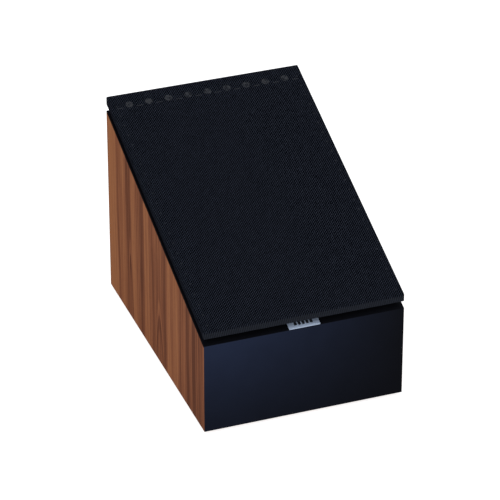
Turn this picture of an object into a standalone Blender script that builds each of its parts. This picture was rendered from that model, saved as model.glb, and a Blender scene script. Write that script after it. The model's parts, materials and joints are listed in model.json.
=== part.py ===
"""Up-firing wedge loudspeaker module with a coaxial driver and a lift-off grille.

World frame, in metres: the origin is on the ground under the middle of the cabinet, +X is to
the right seen from the front, +Y points to the back and +Z is up. Three empties carry the
slanted and sideways frames that the pieces are built in:
  baffle_frame    X to the right, Y up the slope from the front edge, Z out of the baffle
  driver_frame    the same directions, with its origin at the middle of the driver
  terminal_frame  Z out of the back panel, with its origin at the middle of the terminal cup
"""

import math

import bmesh
import bpy
from mathutils import Matrix, Vector

MM = 0.001
GAP = 0.3 * MM

# Cabinet
WIDTH = 180 * MM
DEPTH = 257 * MM
FRONT_HEIGHT = 85 * MM
SLOPE = math.radians(20)
WALL = 12 * MM
BAFFLE_THICKNESS = 15 * MM
FOOT_HEIGHT = 2.5 * MM
FOOT_RADIUS = 6 * MM
FOOT_INSET = 20 * MM
SLOPE_LENGTH = DEPTH / math.cos(SLOPE)
FLOOR = FOOT_HEIGHT + WALL + GAP

# Grille, with heights measured square to the baffle
GRILLE_LOW = 6.6 * MM
GRILLE_HIGH = 13.1 * MM
CLOTH_THICKNESS = 0.8 * MM
SIDE_RAIL = 5.5 * MM
FRONT_RAIL = 10 * MM
REAR_RAIL = 14.6 * MM
CORNER_BLOCK = 24 * MM
REAR_BLOCK = 34 * MM
PEG_X = 73 * MM
FRONT_PEG_INSET = 17 * MM
REAR_PEG_INSET = 26 * MM
PEG_RADIUS = 2.6 * MM
COLLAR_RADIUS = 4.5 * MM
SOCKET_RADIUS = 5.3 * MM
SOCKET_DEPTH = 10.1 * MM
BADGE = (28 * MM, 12 * MM, 0.8 * MM)

# Driver
FLANGE_RADIUS = 61 * MM
FLANGE_THICKNESS = 4 * MM
BASKET_RADIUS = 51.8 * MM
CONE_RADIUS = 43 * MM
FORMER_RADIUS = 16.6 * MM
MAGNET_RADIUS = 40 * MM
TWEETER_RADIUS = 15 * MM
DOME_RADIUS = 6.9 * MM
DOME_HEIGHT = 3 * MM
DRIVER_SCREW_CIRCLE = 57.8 * MM
SCREW_RADIUS = 1.5 * MM
SCREW_HOLE_RADIUS = 1.9 * MM
DRIVER_STEPS = 24

# Back panel fittings
CUP_HEIGHT = 60 * MM
CUP_FLANGE_RADIUS = 37 * MM
CUP_RADIUS = 30 * MM
CUP_INNER_RADIUS = 27.5 * MM
CUP_DEPTH = 32 * MM
CUP_FLOOR = 3 * MM
CUP_FACE = -2.1 * MM
CUP_FLANGE_THICKNESS = 2.5 * MM
CUP_SCREW_CIRCLE = 33.6 * MM
POST_X = 12 * MM
POST_RADIUS = 2.8 * MM
KNOB_RADIUS = 7 * MM
KNOB_BORE = 3.2 * MM
HANGER_HEIGHT = 135 * MM
HANGER_SIZE = (22 * MM, 42 * MM)
HANGER_SCREW_OFFSET = 16 * MM

# Colour, roughness and metallic value of each finish
FINISHES = {
    "walnut_vinyl": ((0.19, 0.075, 0.035), 0.45, 0.0),
    "black_vinyl": ((0.010, 0.012, 0.017), 0.35, 0.0),
    "grille_cloth": ((0.010, 0.012, 0.016), 0.9, 0.0),
    "grille_plastic": ((0.012, 0.012, 0.013), 0.6, 0.0),
    "badge_metal": ((0.50, 0.54, 0.62), 0.3, 1.0),
    "black_rubber": ((0.015, 0.015, 0.015), 0.75, 0.0),
    "cone_paper": ((0.02, 0.02, 0.022), 0.7, 0.0),
    "basket_steel": ((0.03, 0.03, 0.032), 0.45, 0.6),
    "plated_steel": ((0.6, 0.6, 0.62), 0.3, 1.0),
    "ferrite": ((0.04, 0.04, 0.042), 0.7, 0.0),
    "copper": ((0.65, 0.25, 0.1), 0.35, 1.0),
    "spider_cloth": ((0.45, 0.25, 0.07), 0.85, 0.0),
    "dome_silk": ((0.02, 0.02, 0.022), 0.55, 0.0),
    "black_plastic": ((0.018, 0.018, 0.019), 0.5, 0.0),
    "red_plastic": ((0.45, 0.012, 0.012), 0.35, 0.0),
    "gold_plate": ((0.8, 0.55, 0.2), 0.25, 1.0),
    "circuit_board": ((0.02, 0.09, 0.03), 0.5, 0.0),
    "capacitor_film": ((0.05, 0.07, 0.25), 0.4, 0.0),
    "white_ceramic": ((0.7, 0.68, 0.62), 0.6, 0.0),
    "wadding": ((0.75, 0.75, 0.72), 0.95, 0.0),
}


def clear_scene():
    for old in list(bpy.data.objects):
        bpy.data.objects.remove(old, do_unlink=True)


def make_materials():
    for name, (colour, roughness, metallic) in FINISHES.items():
        material = bpy.data.materials.new(name)
        material.use_nodes = True
        shader = material.node_tree.nodes["Principled BSDF"]
        shader.inputs["Base Color"].default_value = (*colour, 1)
        shader.inputs["Roughness"].default_value = roughness
        shader.inputs["Metallic"].default_value = metallic


def add_empty(name, location, tilt=0.0, parent=None):
    """Empty turned about X by the tilt."""
    empty = bpy.data.objects.new(name, None)
    empty.location = location
    empty.rotation_euler = (tilt, 0, 0)
    empty.parent = parent
    bpy.context.scene.collection.objects.link(empty)
    return empty


def add_piece(name, shape, finish, parent=None, location=(0, 0, 0)):
    """Object made from a bmesh, which is used up."""
    bmesh.ops.recalc_face_normals(shape, faces=shape.faces)
    mesh = bpy.data.meshes.new(name)
    shape.to_mesh(mesh)
    shape.free()
    mesh.shade_smooth()
    mesh.set_sharp_from_angle(angle=math.radians(35))
    if finish:
        mesh.materials.append(bpy.data.materials[finish])
    piece = bpy.data.objects.new(name, mesh)
    piece.location = location
    piece.parent = parent
    bpy.context.scene.collection.objects.link(piece)
    return piece


def cut(piece, shape, parent=None, location=(0, 0, 0)):
    """Cuts a bmesh shape out of a piece."""
    number = len(piece.modifiers) + 1
    cutter = add_piece(f"{piece.name}_cutter_{number}", shape, None, parent, location)
    cutter.hide_render = True
    cutter.display_type = "WIRE"
    modifier = piece.modifiers.new(f"cut_{number}", "BOOLEAN")
    modifier.operation = "DIFFERENCE"
    modifier.object = cutter


def turned(outline, steps):
    """Solid of revolution about Z from an outline of (radius, height) points in millimetres.

    An outline that starts and ends on the axis gives a solid piece, any other a ring."""
    shape = bmesh.new()
    corners = [shape.verts.new((radius * MM, 0, height * MM)) for radius, height in outline]
    on_axis = outline[0][0] == 0 and outline[-1][0] == 0
    ends = corners[1:] if on_axis else corners[1:] + corners[:1]
    edges = [shape.edges.new(pair) for pair in zip(corners, ends)]
    bmesh.ops.spin(
        shape,
        geom=corners + edges,
        axis=(0, 0, 1),
        cent=(0, 0, 0),
        angle=math.tau,
        steps=steps,
        use_merge=True,
    )
    bmesh.ops.remove_doubles(shape, verts=shape.verts, dist=0.001 * MM)
    return shape


def prism(outline, low, high):
    """Solid over a flat outline of (x, y) points, from one height to another."""
    shape = bmesh.new()
    base = shape.faces.new([shape.verts.new((x, y, low)) for x, y in outline])
    grown = bmesh.ops.extrude_face_region(shape, geom=[base])["geom"]
    top = [item for item in grown if isinstance(item, bmesh.types.BMVert)]
    bmesh.ops.translate(shape, verts=top, vec=(0, 0, high - low))
    return shape


def block(low, high):
    """Box between two corners."""
    (left, front, bottom), (right, back, top) = low, high
    return prism([(left, front), (right, front), (right, back), (left, back)], bottom, top)


def rod(radius, low, high, steps=12):
    """Cylinder along Z."""
    shape = bmesh.new()
    bmesh.ops.create_cone(
        shape,
        cap_ends=True,
        segments=steps,
        radius1=radius,
        radius2=radius,
        depth=high - low,
        matrix=Matrix.Translation((0, 0, (low + high) / 2)),
    )
    return shape


def joined(shapes):
    """One bmesh from (bmesh, place) pairs, for cutters of many holes."""
    whole = bmesh.new()
    for shape, place in shapes:
        bmesh.ops.translate(shape, verts=shape.verts, vec=place)
        loose = bpy.data.meshes.new("loose")
        shape.to_mesh(loose)
        shape.free()
        whole.from_mesh(loose)
        bpy.data.meshes.remove(loose)
    return whole


def on_circle(radius, count, start=45.0):
    """Points evenly spaced round a circle in the XY plane."""
    angles = [math.radians(start + 360 * index / count) for index in range(count)]
    return [Vector((radius * math.cos(a), radius * math.sin(a), 0)) for a in angles]


def arc(centre, radius, start, end, steps):
    """(x, y) points along an arc, with its angles in degrees."""
    angles = [math.radians(start + (end - start) * index / steps) for index in range(steps + 1)]
    return [(centre[0] + radius * math.cos(a), centre[1] + radius * math.sin(a)) for a in angles]


# The cabinet's outside as planes: outward normal, distance from the origin and wall thickness.
UP_SLOPE = Vector((0, math.cos(SLOPE), math.sin(SLOPE)))
OUT_OF_BAFFLE = Vector((0, -math.sin(SLOPE), math.cos(SLOPE)))
BAFFLE_EDGE = Vector((0, -DEPTH / 2, FOOT_HEIGHT + FRONT_HEIGHT))
SHELL = {
    "left_side_panel": (Vector((-1, 0, 0)), WIDTH / 2, WALL),
    "right_side_panel": (Vector((1, 0, 0)), WIDTH / 2, WALL),
    "front_panel": (Vector((0, -1, 0)), DEPTH / 2, WALL),
    "back_panel": (Vector((0, 1, 0)), DEPTH / 2, WALL),
    "bottom_panel": (Vector((0, 0, -1)), -FOOT_HEIGHT, WALL),
    "baffle": (OUT_OF_BAFFLE, OUT_OF_BAFFLE.dot(BAFFLE_EDGE), BAFFLE_THICKNESS),
}
AROUND_SIDE = ("front_panel", "baffle", "back_panel", "bottom_panel")
AROUND_END = ("left_side_panel", "baffle", "right_side_panel", "bottom_panel")
AROUND_FLAT = ("left_side_panel", "front_panel", "right_side_panel", "back_panel")
NEIGHBOURS = {
    "left_side_panel": AROUND_SIDE,
    "right_side_panel": AROUND_SIDE,
    "front_panel": AROUND_END,
    "back_panel": AROUND_END,
    "bottom_panel": AROUND_FLAT,
    "baffle": AROUND_FLAT,
}


def mitre(panel, neighbour):
    """Plane of a panel's mitred edge, half a gap short of the middle of the joint."""
    normal, distance, thickness = SHELL[panel]
    other_normal, other_distance, other_thickness = SHELL[neighbour]
    across = normal / thickness - other_normal / other_thickness
    level = distance / thickness - other_distance / other_thickness
    return across, level + across.length * GAP / 2


def meeting_point(planes):
    """Point where three planes meet."""
    normals = Matrix([normal for normal, _ in planes])
    return normals.inverted() @ Vector([level for _, level in planes])


def mitred_panel(name):
    """Panel between the outside of the cabinet and its inside, mitred to its four neighbours."""
    normal, distance, thickness = SHELL[name]
    edges = [mitre(name, neighbour) for neighbour in NEIGHBOURS[name]]
    shape = bmesh.new()
    rings = []
    for depth in (0, thickness):
        face = (normal, distance - depth)
        pairs = zip(edges, edges[1:] + edges[:1])
        rings.append([shape.verts.new(meeting_point((face, *pair))) for pair in pairs])
    outer, inner = rings
    shape.faces.new(outer)
    shape.faces.new(inner)
    for index in range(4):
        following = (index + 1) % 4
        shape.faces.new((outer[index], outer[following], inner[following], inner[index]))
    return shape


def peg_places():
    """Name and place on the baffle of each grille peg."""
    rows = (("front", FRONT_PEG_INSET), ("rear", SLOPE_LENGTH - REAR_PEG_INSET))
    sides = (("left", -PEG_X), ("right", PEG_X))
    return [(f"{row}_{side}", Vector((x, y, 0))) for row, y in rows for side, x in sides]


def make_cabinet(baffle_frame, driver_frame, terminal_frame):
    for name in ("left_side_panel", "right_side_panel", "bottom_panel"):
        add_piece(name, mitred_panel(name), "walnut_vinyl")
    add_piece("front_panel", mitred_panel("front_panel"), "black_vinyl")
    make_baffle(baffle_frame, driver_frame)
    make_back_panel(terminal_frame)
    for row, y in (("front", -DEPTH / 2 + FOOT_INSET), ("rear", DEPTH / 2 - FOOT_INSET)):
        for side, x in (("left", -WIDTH / 2 + FOOT_INSET), ("right", WIDTH / 2 - FOOT_INSET)):
            add_foot(f"rubber_foot_{row}_{side}", (x, y, 0))


def stepped_hole(rebate, opening, floor):
    """Outline of a hole through a panel with a wider rebate at its mouth, in millimetres."""
    return [(0, 5), (rebate, 5), (rebate, floor), (opening, floor), (opening, -20), (0, -20)]


def make_baffle(baffle_frame, driver_frame):
    """Slanted panel with the driver's rebate and cut-out, and blind holes for pegs and screws."""
    baffle = add_piece("baffle", mitred_panel("baffle"), "black_vinyl")
    rebate = (FLANGE_RADIUS + 0.4 * MM) / MM
    opening = (BASKET_RADIUS + 0.5 * MM) / MM
    floor = -(FLANGE_THICKNESS + GAP) / MM
    cut(baffle, turned(stepped_hole(rebate, opening, floor), 32), driver_frame)
    screw_holes = [
        (rod(SCREW_HOLE_RADIUS, -13.5 * MM, 5 * MM), place)
        for place in on_circle(DRIVER_SCREW_CIRCLE, 4)
    ]
    cut(baffle, joined(screw_holes), driver_frame)
    peg_holes = [
        (rod(SOCKET_RADIUS + GAP, -SOCKET_DEPTH - 0.4 * MM, 5 * MM, 16), place)
        for _, place in peg_places()
    ]
    cut(baffle, joined(peg_holes), baffle_frame)


def make_back_panel(terminal_frame):
    """Back panel with the terminal cup's rebate and hole, and the hanger plate's pocket."""
    back = add_piece("back_panel", mitred_panel("back_panel"), "walnut_vinyl")
    rebate = CUP_FLANGE_RADIUS / MM + 0.4
    hole = CUP_RADIUS / MM + 0.4
    floor = (CUP_FACE - CUP_FLANGE_THICKNESS - GAP) / MM
    cut(back, turned(stepped_hole(rebate, hole, floor), 24), terminal_frame)
    cup_screws = [
        (rod(SCREW_HOLE_RADIUS, -11 * MM, 5 * MM), place)
        for place in on_circle(CUP_SCREW_CIRCLE, 2)
    ]
    cut(back, joined(cup_screws), terminal_frame)
    half_width = HANGER_SIZE[0] / 2 + GAP
    half_height = HANGER_SIZE[1] / 2 + GAP
    place = hanger_place()
    cut(
        back,
        block((-half_width, -half_height, -3.9 * MM), (half_width, half_height, 5 * MM)),
        terminal_frame,
        place,
    )
    behind_plate = [
        (block((-6 * MM, -11 * MM, -9.5 * MM), (6 * MM, 11 * MM, 0)), (0, 0, 0)),
        (rod(SCREW_HOLE_RADIUS, -11 * MM, 0), (0, HANGER_SCREW_OFFSET, 0)),
        (rod(SCREW_HOLE_RADIUS, -11 * MM, 0), (0, -HANGER_SCREW_OFFSET, 0)),
    ]
    cut(back, joined(behind_plate), terminal_frame, place)


def hanger_place():
    """Middle of the hanger plate in the terminal frame, whose Y points down."""
    return Vector((0, CUP_HEIGHT - HANGER_HEIGHT, 0))


def add_foot(name, location):
    height = (FOOT_HEIGHT - GAP) / MM
    radius = FOOT_RADIUS / MM
    outline = [(0, 0), (radius - 0.8, 0), (radius, 0.8), (radius, height), (0, height)]
    add_piece(name, turned(outline, 16), "black_rubber", location=location)


def slanted_slab(low, high, half_width):
    """Slab parallel to the baffle, with upright ends flush with the cabinet's front and back."""
    lean = math.tan(SLOPE)
    outline = [
        (low * lean, low),
        (low * lean + SLOPE_LENGTH, low),
        (high * lean + SLOPE_LENGTH, high),
        (high * lean, high),
    ]
    shape = prism(outline, -half_width, half_width)
    along_x = Matrix(((0, 0, 1, 0), (1, 0, 0, 0), (0, 1, 0, 0), (0, 0, 0, 1)))
    bmesh.ops.transform(shape, matrix=along_x, verts=shape.verts)
    return shape


def window_outline():
    """Opening of the grille frame, which leaves a solid block in each corner for its peg."""
    lean = GRILLE_HIGH * math.tan(SLOPE)
    side = WIDTH / 2 - SIDE_RAIL
    block_side = WIDTH / 2 - CORNER_BLOCK
    front = lean + FRONT_RAIL
    front_block = lean + CORNER_BLOCK
    rear = lean + SLOPE_LENGTH - REAR_RAIL
    rear_block = lean + SLOPE_LENGTH - REAR_BLOCK
    right = [
        (block_side, front),
        (block_side, front_block),
        (side, front_block),
        (side, rear_block),
        (block_side, rear_block),
        (block_side, rear),
    ]
    return right + [(-x, y) for x, y in reversed(right)]


def make_grille(grille_frame):
    """Lift-off grille: frame, cloth and four pegs with stand-off collars."""
    cloth_low = GRILLE_HIGH - CLOTH_THICKNESS
    frame = slanted_slab(GRILLE_LOW, cloth_low - GAP, WIDTH / 2)
    frame = add_piece("grille_frame", frame, "grille_plastic", grille_frame)
    cut(frame, prism(window_outline(), 0, 20 * MM), grille_frame)
    cloth = slanted_slab(cloth_low, GRILLE_HIGH, WIDTH / 2)
    add_piece("grille_cloth", cloth, "grille_cloth", grille_frame)
    pin = PEG_RADIUS / MM
    collar = COLLAR_RADIUS / MM
    top = (GRILLE_LOW - GAP) / MM
    peg = [(0, top), (collar, top), (collar, 0.3), (pin, 0.3), (pin, -8.2), (pin - 0.6, -9), (0, -9)]
    for name, place in peg_places():
        add_piece(f"grille_peg_{name}", turned(peg, 12), "grille_plastic", grille_frame, place)


def make_peg_sockets(baffle_frame):
    inner = PEG_RADIUS / MM + 0.4
    outer = SOCKET_RADIUS / MM
    depth = -SOCKET_DEPTH / MM
    outline = [(outer, 0), (outer, depth), (inner, depth), (inner, 0)]
    for name, place in peg_places():
        add_piece(f"peg_socket_{name}", turned(outline, 12), "black_rubber", baffle_frame, place)


def make_badge(baffle_frame):
    """Plain plate on the baffle, at the middle of its front edge."""
    width, length, thickness = BADGE
    edge = 0.4 * MM
    plate = block((-width / 2, edge, GAP), (width / 2, edge + length, GAP + thickness))
    add_piece("badge_plate", plate, "badge_metal", baffle_frame)


def screw_outline(head_low, tip):
    """Pan-head screw about its axis, from the underside of its head to its tip."""
    shank = SCREW_RADIUS / MM
    return [
        (0, head_low + 1.6),
        (2, head_low + 1.5),
        (3, head_low + 0.8),
        (3, head_low),
        (shank, head_low),
        (shank, tip + 1.2),
        (0, tip),
    ]


def cone_outline():
    """Thin flared cone with a straight neck, closed into one outline."""
    rim = CONE_RADIUS / MM
    neck = FORMER_RADIUS / MM + 0.3
    spans = 4
    front = []
    for index in range(spans + 1):
        share = index / spans
        front.append((rim - (rim - neck) * share, -0.9 - 13.6 * share**0.85))
    back = [(radius + 0.3, height - 0.9) for radius, height in reversed(front[1:])]
    back[0] = (neck, front[-1][1] - 0.9)
    return front + back + [(rim, front[0][1] - 0.8)]


def surround_outline():
    """Half-roll surround with its outer flange and inner lip."""
    middle = (46.6, -1.1)
    under = arc(middle, 2.7, 0, 180, 4)
    over = arc(middle, 3.3, 180, 0, 4)
    flange = [(54.2, -0.8), (54.2, -1.4), (49.3, -1.4)]
    lip = [(43.9, -1.4), (43.3, -1.4)]
    return flange + under + lip + over + [(49.9, -0.8)]


def dome_outline():
    """Tweeter dome and its coil former as one thin shell."""
    edge = DOME_RADIUS / MM
    rise = DOME_HEIGHT / MM
    thickness = 0.5
    ball = (edge**2 + rise**2) / (2 * rise)
    top = -9.6
    middle = (0, top - ball)
    rim_angle = math.degrees(math.acos(edge / ball))
    outer = arc(middle, ball, 90, rim_angle, 3)
    inner = arc(middle, ball - thickness, rim_angle, 90, 3)
    outer[0] = (0, top)
    inner[-1] = (0, top - thickness)
    skirt = [(edge, -17.5), (edge - thickness, -17.5), (edge - thickness, inner[0][1] - 0.2)]
    return outer + skirt + inner[1:]


def make_basket(driver_frame):
    """Pressed basket with a flange, a seat for the surround and four windows."""
    rim = FLANGE_RADIUS / MM
    under_rim = -FLANGE_THICKNESS / MM
    wall = BASKET_RADIUS / MM
    outline = [
        (rim, -0.2),
        (rim, under_rim),
        (wall, under_rim),
        (wall, -9),
        (44, -22),
        (40.2, -23.5),
        (40.2, -30),
        (24, -30),
        (24, -28),
        (37.8, -28),
        (37.8, -21.6),
        (41.8, -21.6),
        (wall - 2.4, -9),
        (wall - 2.4, -1.7),
        (54.6, -1.7),
        (54.6, -0.2),
    ]
    basket = turned(outline, DRIVER_STEPS)
    basket = add_piece("driver_basket", basket, "basket_steel", driver_frame)
    window = (60 * MM, 21 * MM)
    for across, along in (window, window[::-1]):
        low = (-across, -along, -19.6 * MM)
        high = (across, along, -10.6 * MM)
        cut(basket, block(low, high), driver_frame)
    holes = [
        (rod(SCREW_HOLE_RADIUS, -6 * MM, 3 * MM), place)
        for place in on_circle(DRIVER_SCREW_CIRCLE, 4)
    ]
    cut(basket, joined(holes), driver_frame)


def make_driver(driver_frame, cone_axis, dome_axis):
    """Coaxial driver: a woofer with the tweeter in the middle of its cone."""
    make_basket(driver_frame)
    for number, place in enumerate(on_circle(DRIVER_SCREW_CIRCLE, 4), 1):
        screw = turned(screw_outline(0.1, -13), 8)
        add_piece(f"driver_screw_{number}", screw, "plated_steel", driver_frame, place)
    magnet = MAGNET_RADIUS / MM
    former = FORMER_RADIUS / MM
    hub = former + 0.3
    rings = (
        ("trim_ring", "black_rubber", [(54.3, 0.5), (54.3, -0.5), (50.3, -0.5), (50.3, 0.5)]),
        ("woofer_surround", "black_rubber", surround_outline()),
        ("spider", "spider_cloth", [(41.4, -20.7), (41.4, -21.2), (hub, -21.2), (hub, -20.7)]),
        ("top_plate", "plated_steel", [(36, -30.3), (36, -35.3), (17.8, -35.3), (17.8, -30.3)]),
        ("ferrite_magnet", "ferrite", [(magnet, -35.6), (magnet, -50), (22, -50), (22, -35.6)]),
    )
    for name, finish, outline in rings:
        add_piece(name, turned(outline, DRIVER_STEPS), finish, driver_frame)
    yoke = [(0, -30.5), (15.8, -30.5), (15.8, -50.3), (38, -50.3), (38, -55.3), (0, -55.3)]
    add_piece("magnet_yoke", turned(yoke, DRIVER_STEPS), "plated_steel", driver_frame)
    strip = block((-7 * MM, 40.6 * MM, -29.5 * MM), (7 * MM, 44.4 * MM, -24.5 * MM))
    add_piece("terminal_strip", strip, "black_plastic", driver_frame)
    add_piece("woofer_cone", turned(cone_outline(), DRIVER_STEPS), "cone_paper", cone_axis)
    coil = [
        (former, -13.2),
        (former, -28),
        (former + 0.7, -28),
        (former + 0.7, -38),
        (former - 0.4, -38),
        (former - 0.4, -13.2),
    ]
    add_piece("voice_coil", turned(coil, DRIVER_STEPS), "copper", cone_axis)
    make_tweeter(driver_frame, dome_axis)


def make_tweeter(driver_frame, dome_axis):
    outer = TWEETER_RADIUS / MM
    housing = [
        (0, -30.2),
        (outer, -30.2),
        (outer, -7),
        (13.5, -7),
        (9.5, -10.5),
        (7.4, -12.5),
        (7.4, -20.5),
        (0, -20.5),
    ]
    housing = turned(housing, DRIVER_STEPS)
    add_piece("tweeter_housing", housing, "black_plastic", driver_frame)
    magnet = turned([(0, -17), (5.4, -17), (5.4, -20.2), (0, -20.2)], DRIVER_STEPS)
    add_piece("tweeter_magnet", magnet, "plated_steel", driver_frame)
    add_piece("tweeter_dome", turned(dome_outline(), DRIVER_STEPS), "dome_silk", dome_axis)


def make_terminals(terminal_frame):
    """Recessed cup with two binding posts, whose knobs stay inside the back plane."""
    face = CUP_FACE / MM
    flange = CUP_FLANGE_RADIUS / MM
    under_flange = face - CUP_FLANGE_THICKNESS / MM
    wall = CUP_RADIUS / MM
    inner = CUP_INNER_RADIUS / MM
    end = -CUP_DEPTH / MM
    floor = end + CUP_FLOOR / MM
    cup = [
        (0, end),
        (wall, end),
        (wall, under_flange),
        (flange, under_flange),
        (flange, face),
        (inner, face),
        (inner, floor),
        (0, floor),
    ]
    cup = add_piece("terminal_cup", turned(cup, 24), "black_plastic", terminal_frame)
    holes = [(rod(POST_RADIUS + 0.7 * MM, -40 * MM, -20 * MM), (x, 0, 0)) for x in (-POST_X, POST_X)]
    holes += [
        (rod(SCREW_HOLE_RADIUS, -8 * MM, 2 * MM), place)
        for place in on_circle(CUP_SCREW_CIRCLE, 2)
    ]
    cut(cup, joined(holes), terminal_frame)
    for number, place in enumerate(on_circle(CUP_SCREW_CIRCLE, 2), 1):
        screw = turned(screw_outline(face + 0.3, -10.5), 8)
        add_piece(f"cup_screw_{number}", screw, "basket_steel", terminal_frame, place)
    for sign, x, finish in (("plus", -POST_X, "red_plastic"), ("minus", POST_X, "black_plastic")):
        axis = add_empty(f"{sign}_post_axis", (x, 0, 0), parent=terminal_frame)
        make_binding_post(sign, axis, finish)


def make_binding_post(sign, axis, finish):
    """Threaded post with a plug bore and a wire hole, its clamp washer and its fluted knob."""
    radius = POST_RADIUS / MM
    post = [
        (0, -21),
        (2, -21),
        (2, -9),
        (radius, -9),
        (radius, -26.7),
        (5.5, -26.7),
        (5.5, -28.7),
        (3, -28.7),
        (3, -32.3),
        (5, -32.3),
        (5, -36),
        (radius, -36),
        (radius, -40),
        (0, -40),
    ]
    post = add_piece(f"{sign}_binding_post", turned(post, 12), "gold_plate", axis)
    wire_hole = rod(1.4 * MM, -6 * MM, 6 * MM, 8)
    bmesh.ops.rotate(wire_hole, verts=wire_hole.verts, matrix=Matrix.Rotation(math.pi / 2, 3, "Y"))
    cut(post, wire_hole, axis, (0, 0, -24.6 * MM))
    bore = KNOB_BORE / MM
    washer = turned([(6.8, -24.9), (6.8, -26.3), (bore, -26.3), (bore, -24.9)], 16)
    add_piece(f"{sign}_clamp_washer", washer, "gold_plate", axis)
    outer = KNOB_RADIUS / MM
    knob = turned([(outer - 0.8, -6), (outer, -7), (outer, -24.5), (bore, -24.5), (bore, -6)], 24)
    for corner in knob.verts:
        sector = round(math.atan2(corner.co.y, corner.co.x) / math.tau * 24)
        if corner.co.xy.length > (outer - 1) * MM and sector % 2:
            corner.co.xy *= 0.93
    add_piece(f"{sign}_binding_knob", knob, finish, axis)


def keyhole_outline(hole_radius, slot_radius, length):
    """Round hole with a slot that runs up from it, in a frame whose Y points down."""
    spread = math.degrees(math.asin(slot_radius / hole_radius))
    hole = arc((0, length / 2), hole_radius, -90 + spread, 270 - spread, 12)
    return hole + arc((0, -length / 2), slot_radius, 180, 360, 6)


def make_hanger(terminal_frame):
    """Steel keyhole plate let into the back panel."""
    half_width = HANGER_SIZE[0] / 2
    half_height = HANGER_SIZE[1] / 2
    plate = block((-half_width, -half_height, -3.6 * MM), (half_width, half_height, -2.1 * MM))
    place = hanger_place()
    plate = add_piece("hanger_plate", plate, "plated_steel", terminal_frame, place)
    keyhole = prism(keyhole_outline(4.6 * MM, 2.5 * MM, 10 * MM), -6 * MM, 0)
    screw_places = [(0, HANGER_SCREW_OFFSET, 0), (0, -HANGER_SCREW_OFFSET, 0)]
    holes = [(rod(SCREW_HOLE_RADIUS, -6 * MM, 0), screw) for screw in screw_places]
    cut(plate, joined([(keyhole, (0, 0, 0)), *holes]), terminal_frame, place)
    for name, screw in zip(("lower", "upper"), screw_places):
        shape = turned(screw_outline(-1.8, -10.5), 8)
        where = place + Vector(screw)
        add_piece(f"hanger_screw_{name}", shape, "plated_steel", terminal_frame, where)


def make_crossover():
    """Board on the cabinet's floor behind the magnet, with the parts that stand on it."""
    top = FLOOR + 1.6 * MM
    on_board = top + GAP
    board = block((-50 * MM, 6 * MM, FLOOR), (50 * MM, 70 * MM, top))
    add_piece("crossover_board", board, "circuit_board")
    for name, outer, inner, height, x, y in (
        ("woofer_inductor", 19, 9, 16, -28, 46),
        ("tweeter_inductor", 12, 6, 11, 8, 22),
    ):
        ring = turned([(outer, height), (outer, 0), (inner, 0), (inner, height)], 16)
        add_piece(name, ring, "copper", location=(x * MM, y * MM, on_board))
    for name, radius, length, x, y in (
        ("woofer_capacitor", 7, 34, 20, 58),
        ("tweeter_capacitor", 5.5, 24, 34, 38),
    ):
        can = rod(radius * MM, -length * MM / 2, length * MM / 2)
        bmesh.ops.rotate(can, verts=can.verts, matrix=Matrix.Rotation(math.pi / 2, 3, "Y"))
        place = (x * MM, y * MM, on_board + radius * MM)
        add_piece(name, can, "capacitor_film", location=place)
    resistor = block((-45 * MM, 10.5 * MM, on_board), (-23 * MM, 19.5 * MM, on_board + 8 * MM))
    add_piece("tweeter_resistor", resistor, "white_ceramic")


def smooth_route(points, spans):
    """Points along a smooth curve through the route's own points."""
    points = [Vector(point) * MM for point in points]
    points = [2 * points[0] - points[1], *points, 2 * points[-1] - points[-2]]
    route = []
    for before, start, end, after in zip(points, points[1:], points[2:], points[3:]):
        for index in range(spans):
            t = index / spans
            bend = (2 * before - 5 * start + 4 * end - after) * t * t
            twist = (3 * start - before - 3 * end + after) * t**3
            route.append((2 * start + (end - before) * t + bend + twist) / 2)
    return [*route, points[-2]]


def add_lead(name, points, finish):
    """Lead clipped inside the cabinet, from one terminal to the next."""
    route = smooth_route(points, 4)
    curve = bpy.data.curves.new(name, "CURVE")
    curve.dimensions = "3D"
    curve.bevel_depth = 1.6 * MM
    curve.bevel_resolution = 2
    curve.use_fill_caps = True
    spline = curve.splines.new("POLY")
    spline.points.add(len(route) - 1)
    for point, place in zip(spline.points, route):
        point.co = (*place, 1)
    curve.materials.append(bpy.data.materials[finish])
    lead = bpy.data.objects.new(name, curve)
    bpy.context.scene.collection.objects.link(lead)


def make_leads():
    input_route = [
        (45, 58, 18.4),
        (46, 64, 30),
        (38, 74, 44),
        (18, 80, 54),
        (4, 86, 59.5),
        (0, 95.8, 60),
    ]
    driver_route = [
        (46, 22, 18.4),
        (51, 26, 32),
        (52, 42, 58),
        (42, 62, 84),
        (20, 74, 108),
        (5, 70, 124),
        (0, 60, 127.4),
        (0, 51.6, 124.3),
    ]
    add_lead("input_lead", input_route, "black_plastic")
    add_lead("driver_lead", driver_route, "red_plastic")


def make_wadding():
    """Pad of fibre wadding on the floor in front of the magnet."""
    pad = block((-70 * MM, -110 * MM, FLOOR), (70 * MM, -20 * MM, FLOOR + 22 * MM))
    add_piece("acoustic_wadding", pad, "wadding")


def main():
    clear_scene()
    make_materials()
    baffle_frame = add_empty("baffle_frame", BAFFLE_EDGE, SLOPE)
    grille_axis = add_empty("grille_axis", BAFFLE_EDGE, SLOPE)
    middle = BAFFLE_EDGE + UP_SLOPE * SLOPE_LENGTH / 2
    driver_frame = add_empty("driver_frame", middle, SLOPE)
    cone_axis = add_empty("cone_axis", middle, SLOPE)
    dome_axis = add_empty("dome_axis", middle, SLOPE)
    terminal_frame = add_empty("terminal_frame", (0, DEPTH / 2, CUP_HEIGHT), -math.pi / 2)
    make_cabinet(baffle_frame, driver_frame, terminal_frame)
    make_grille(grille_axis)
    make_peg_sockets(baffle_frame)
    make_badge(baffle_frame)
    make_driver(driver_frame, cone_axis, dome_axis)
    make_terminals(terminal_frame)
    make_hanger(terminal_frame)
    make_crossover()
    make_leads()
    make_wadding()


main()
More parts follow.
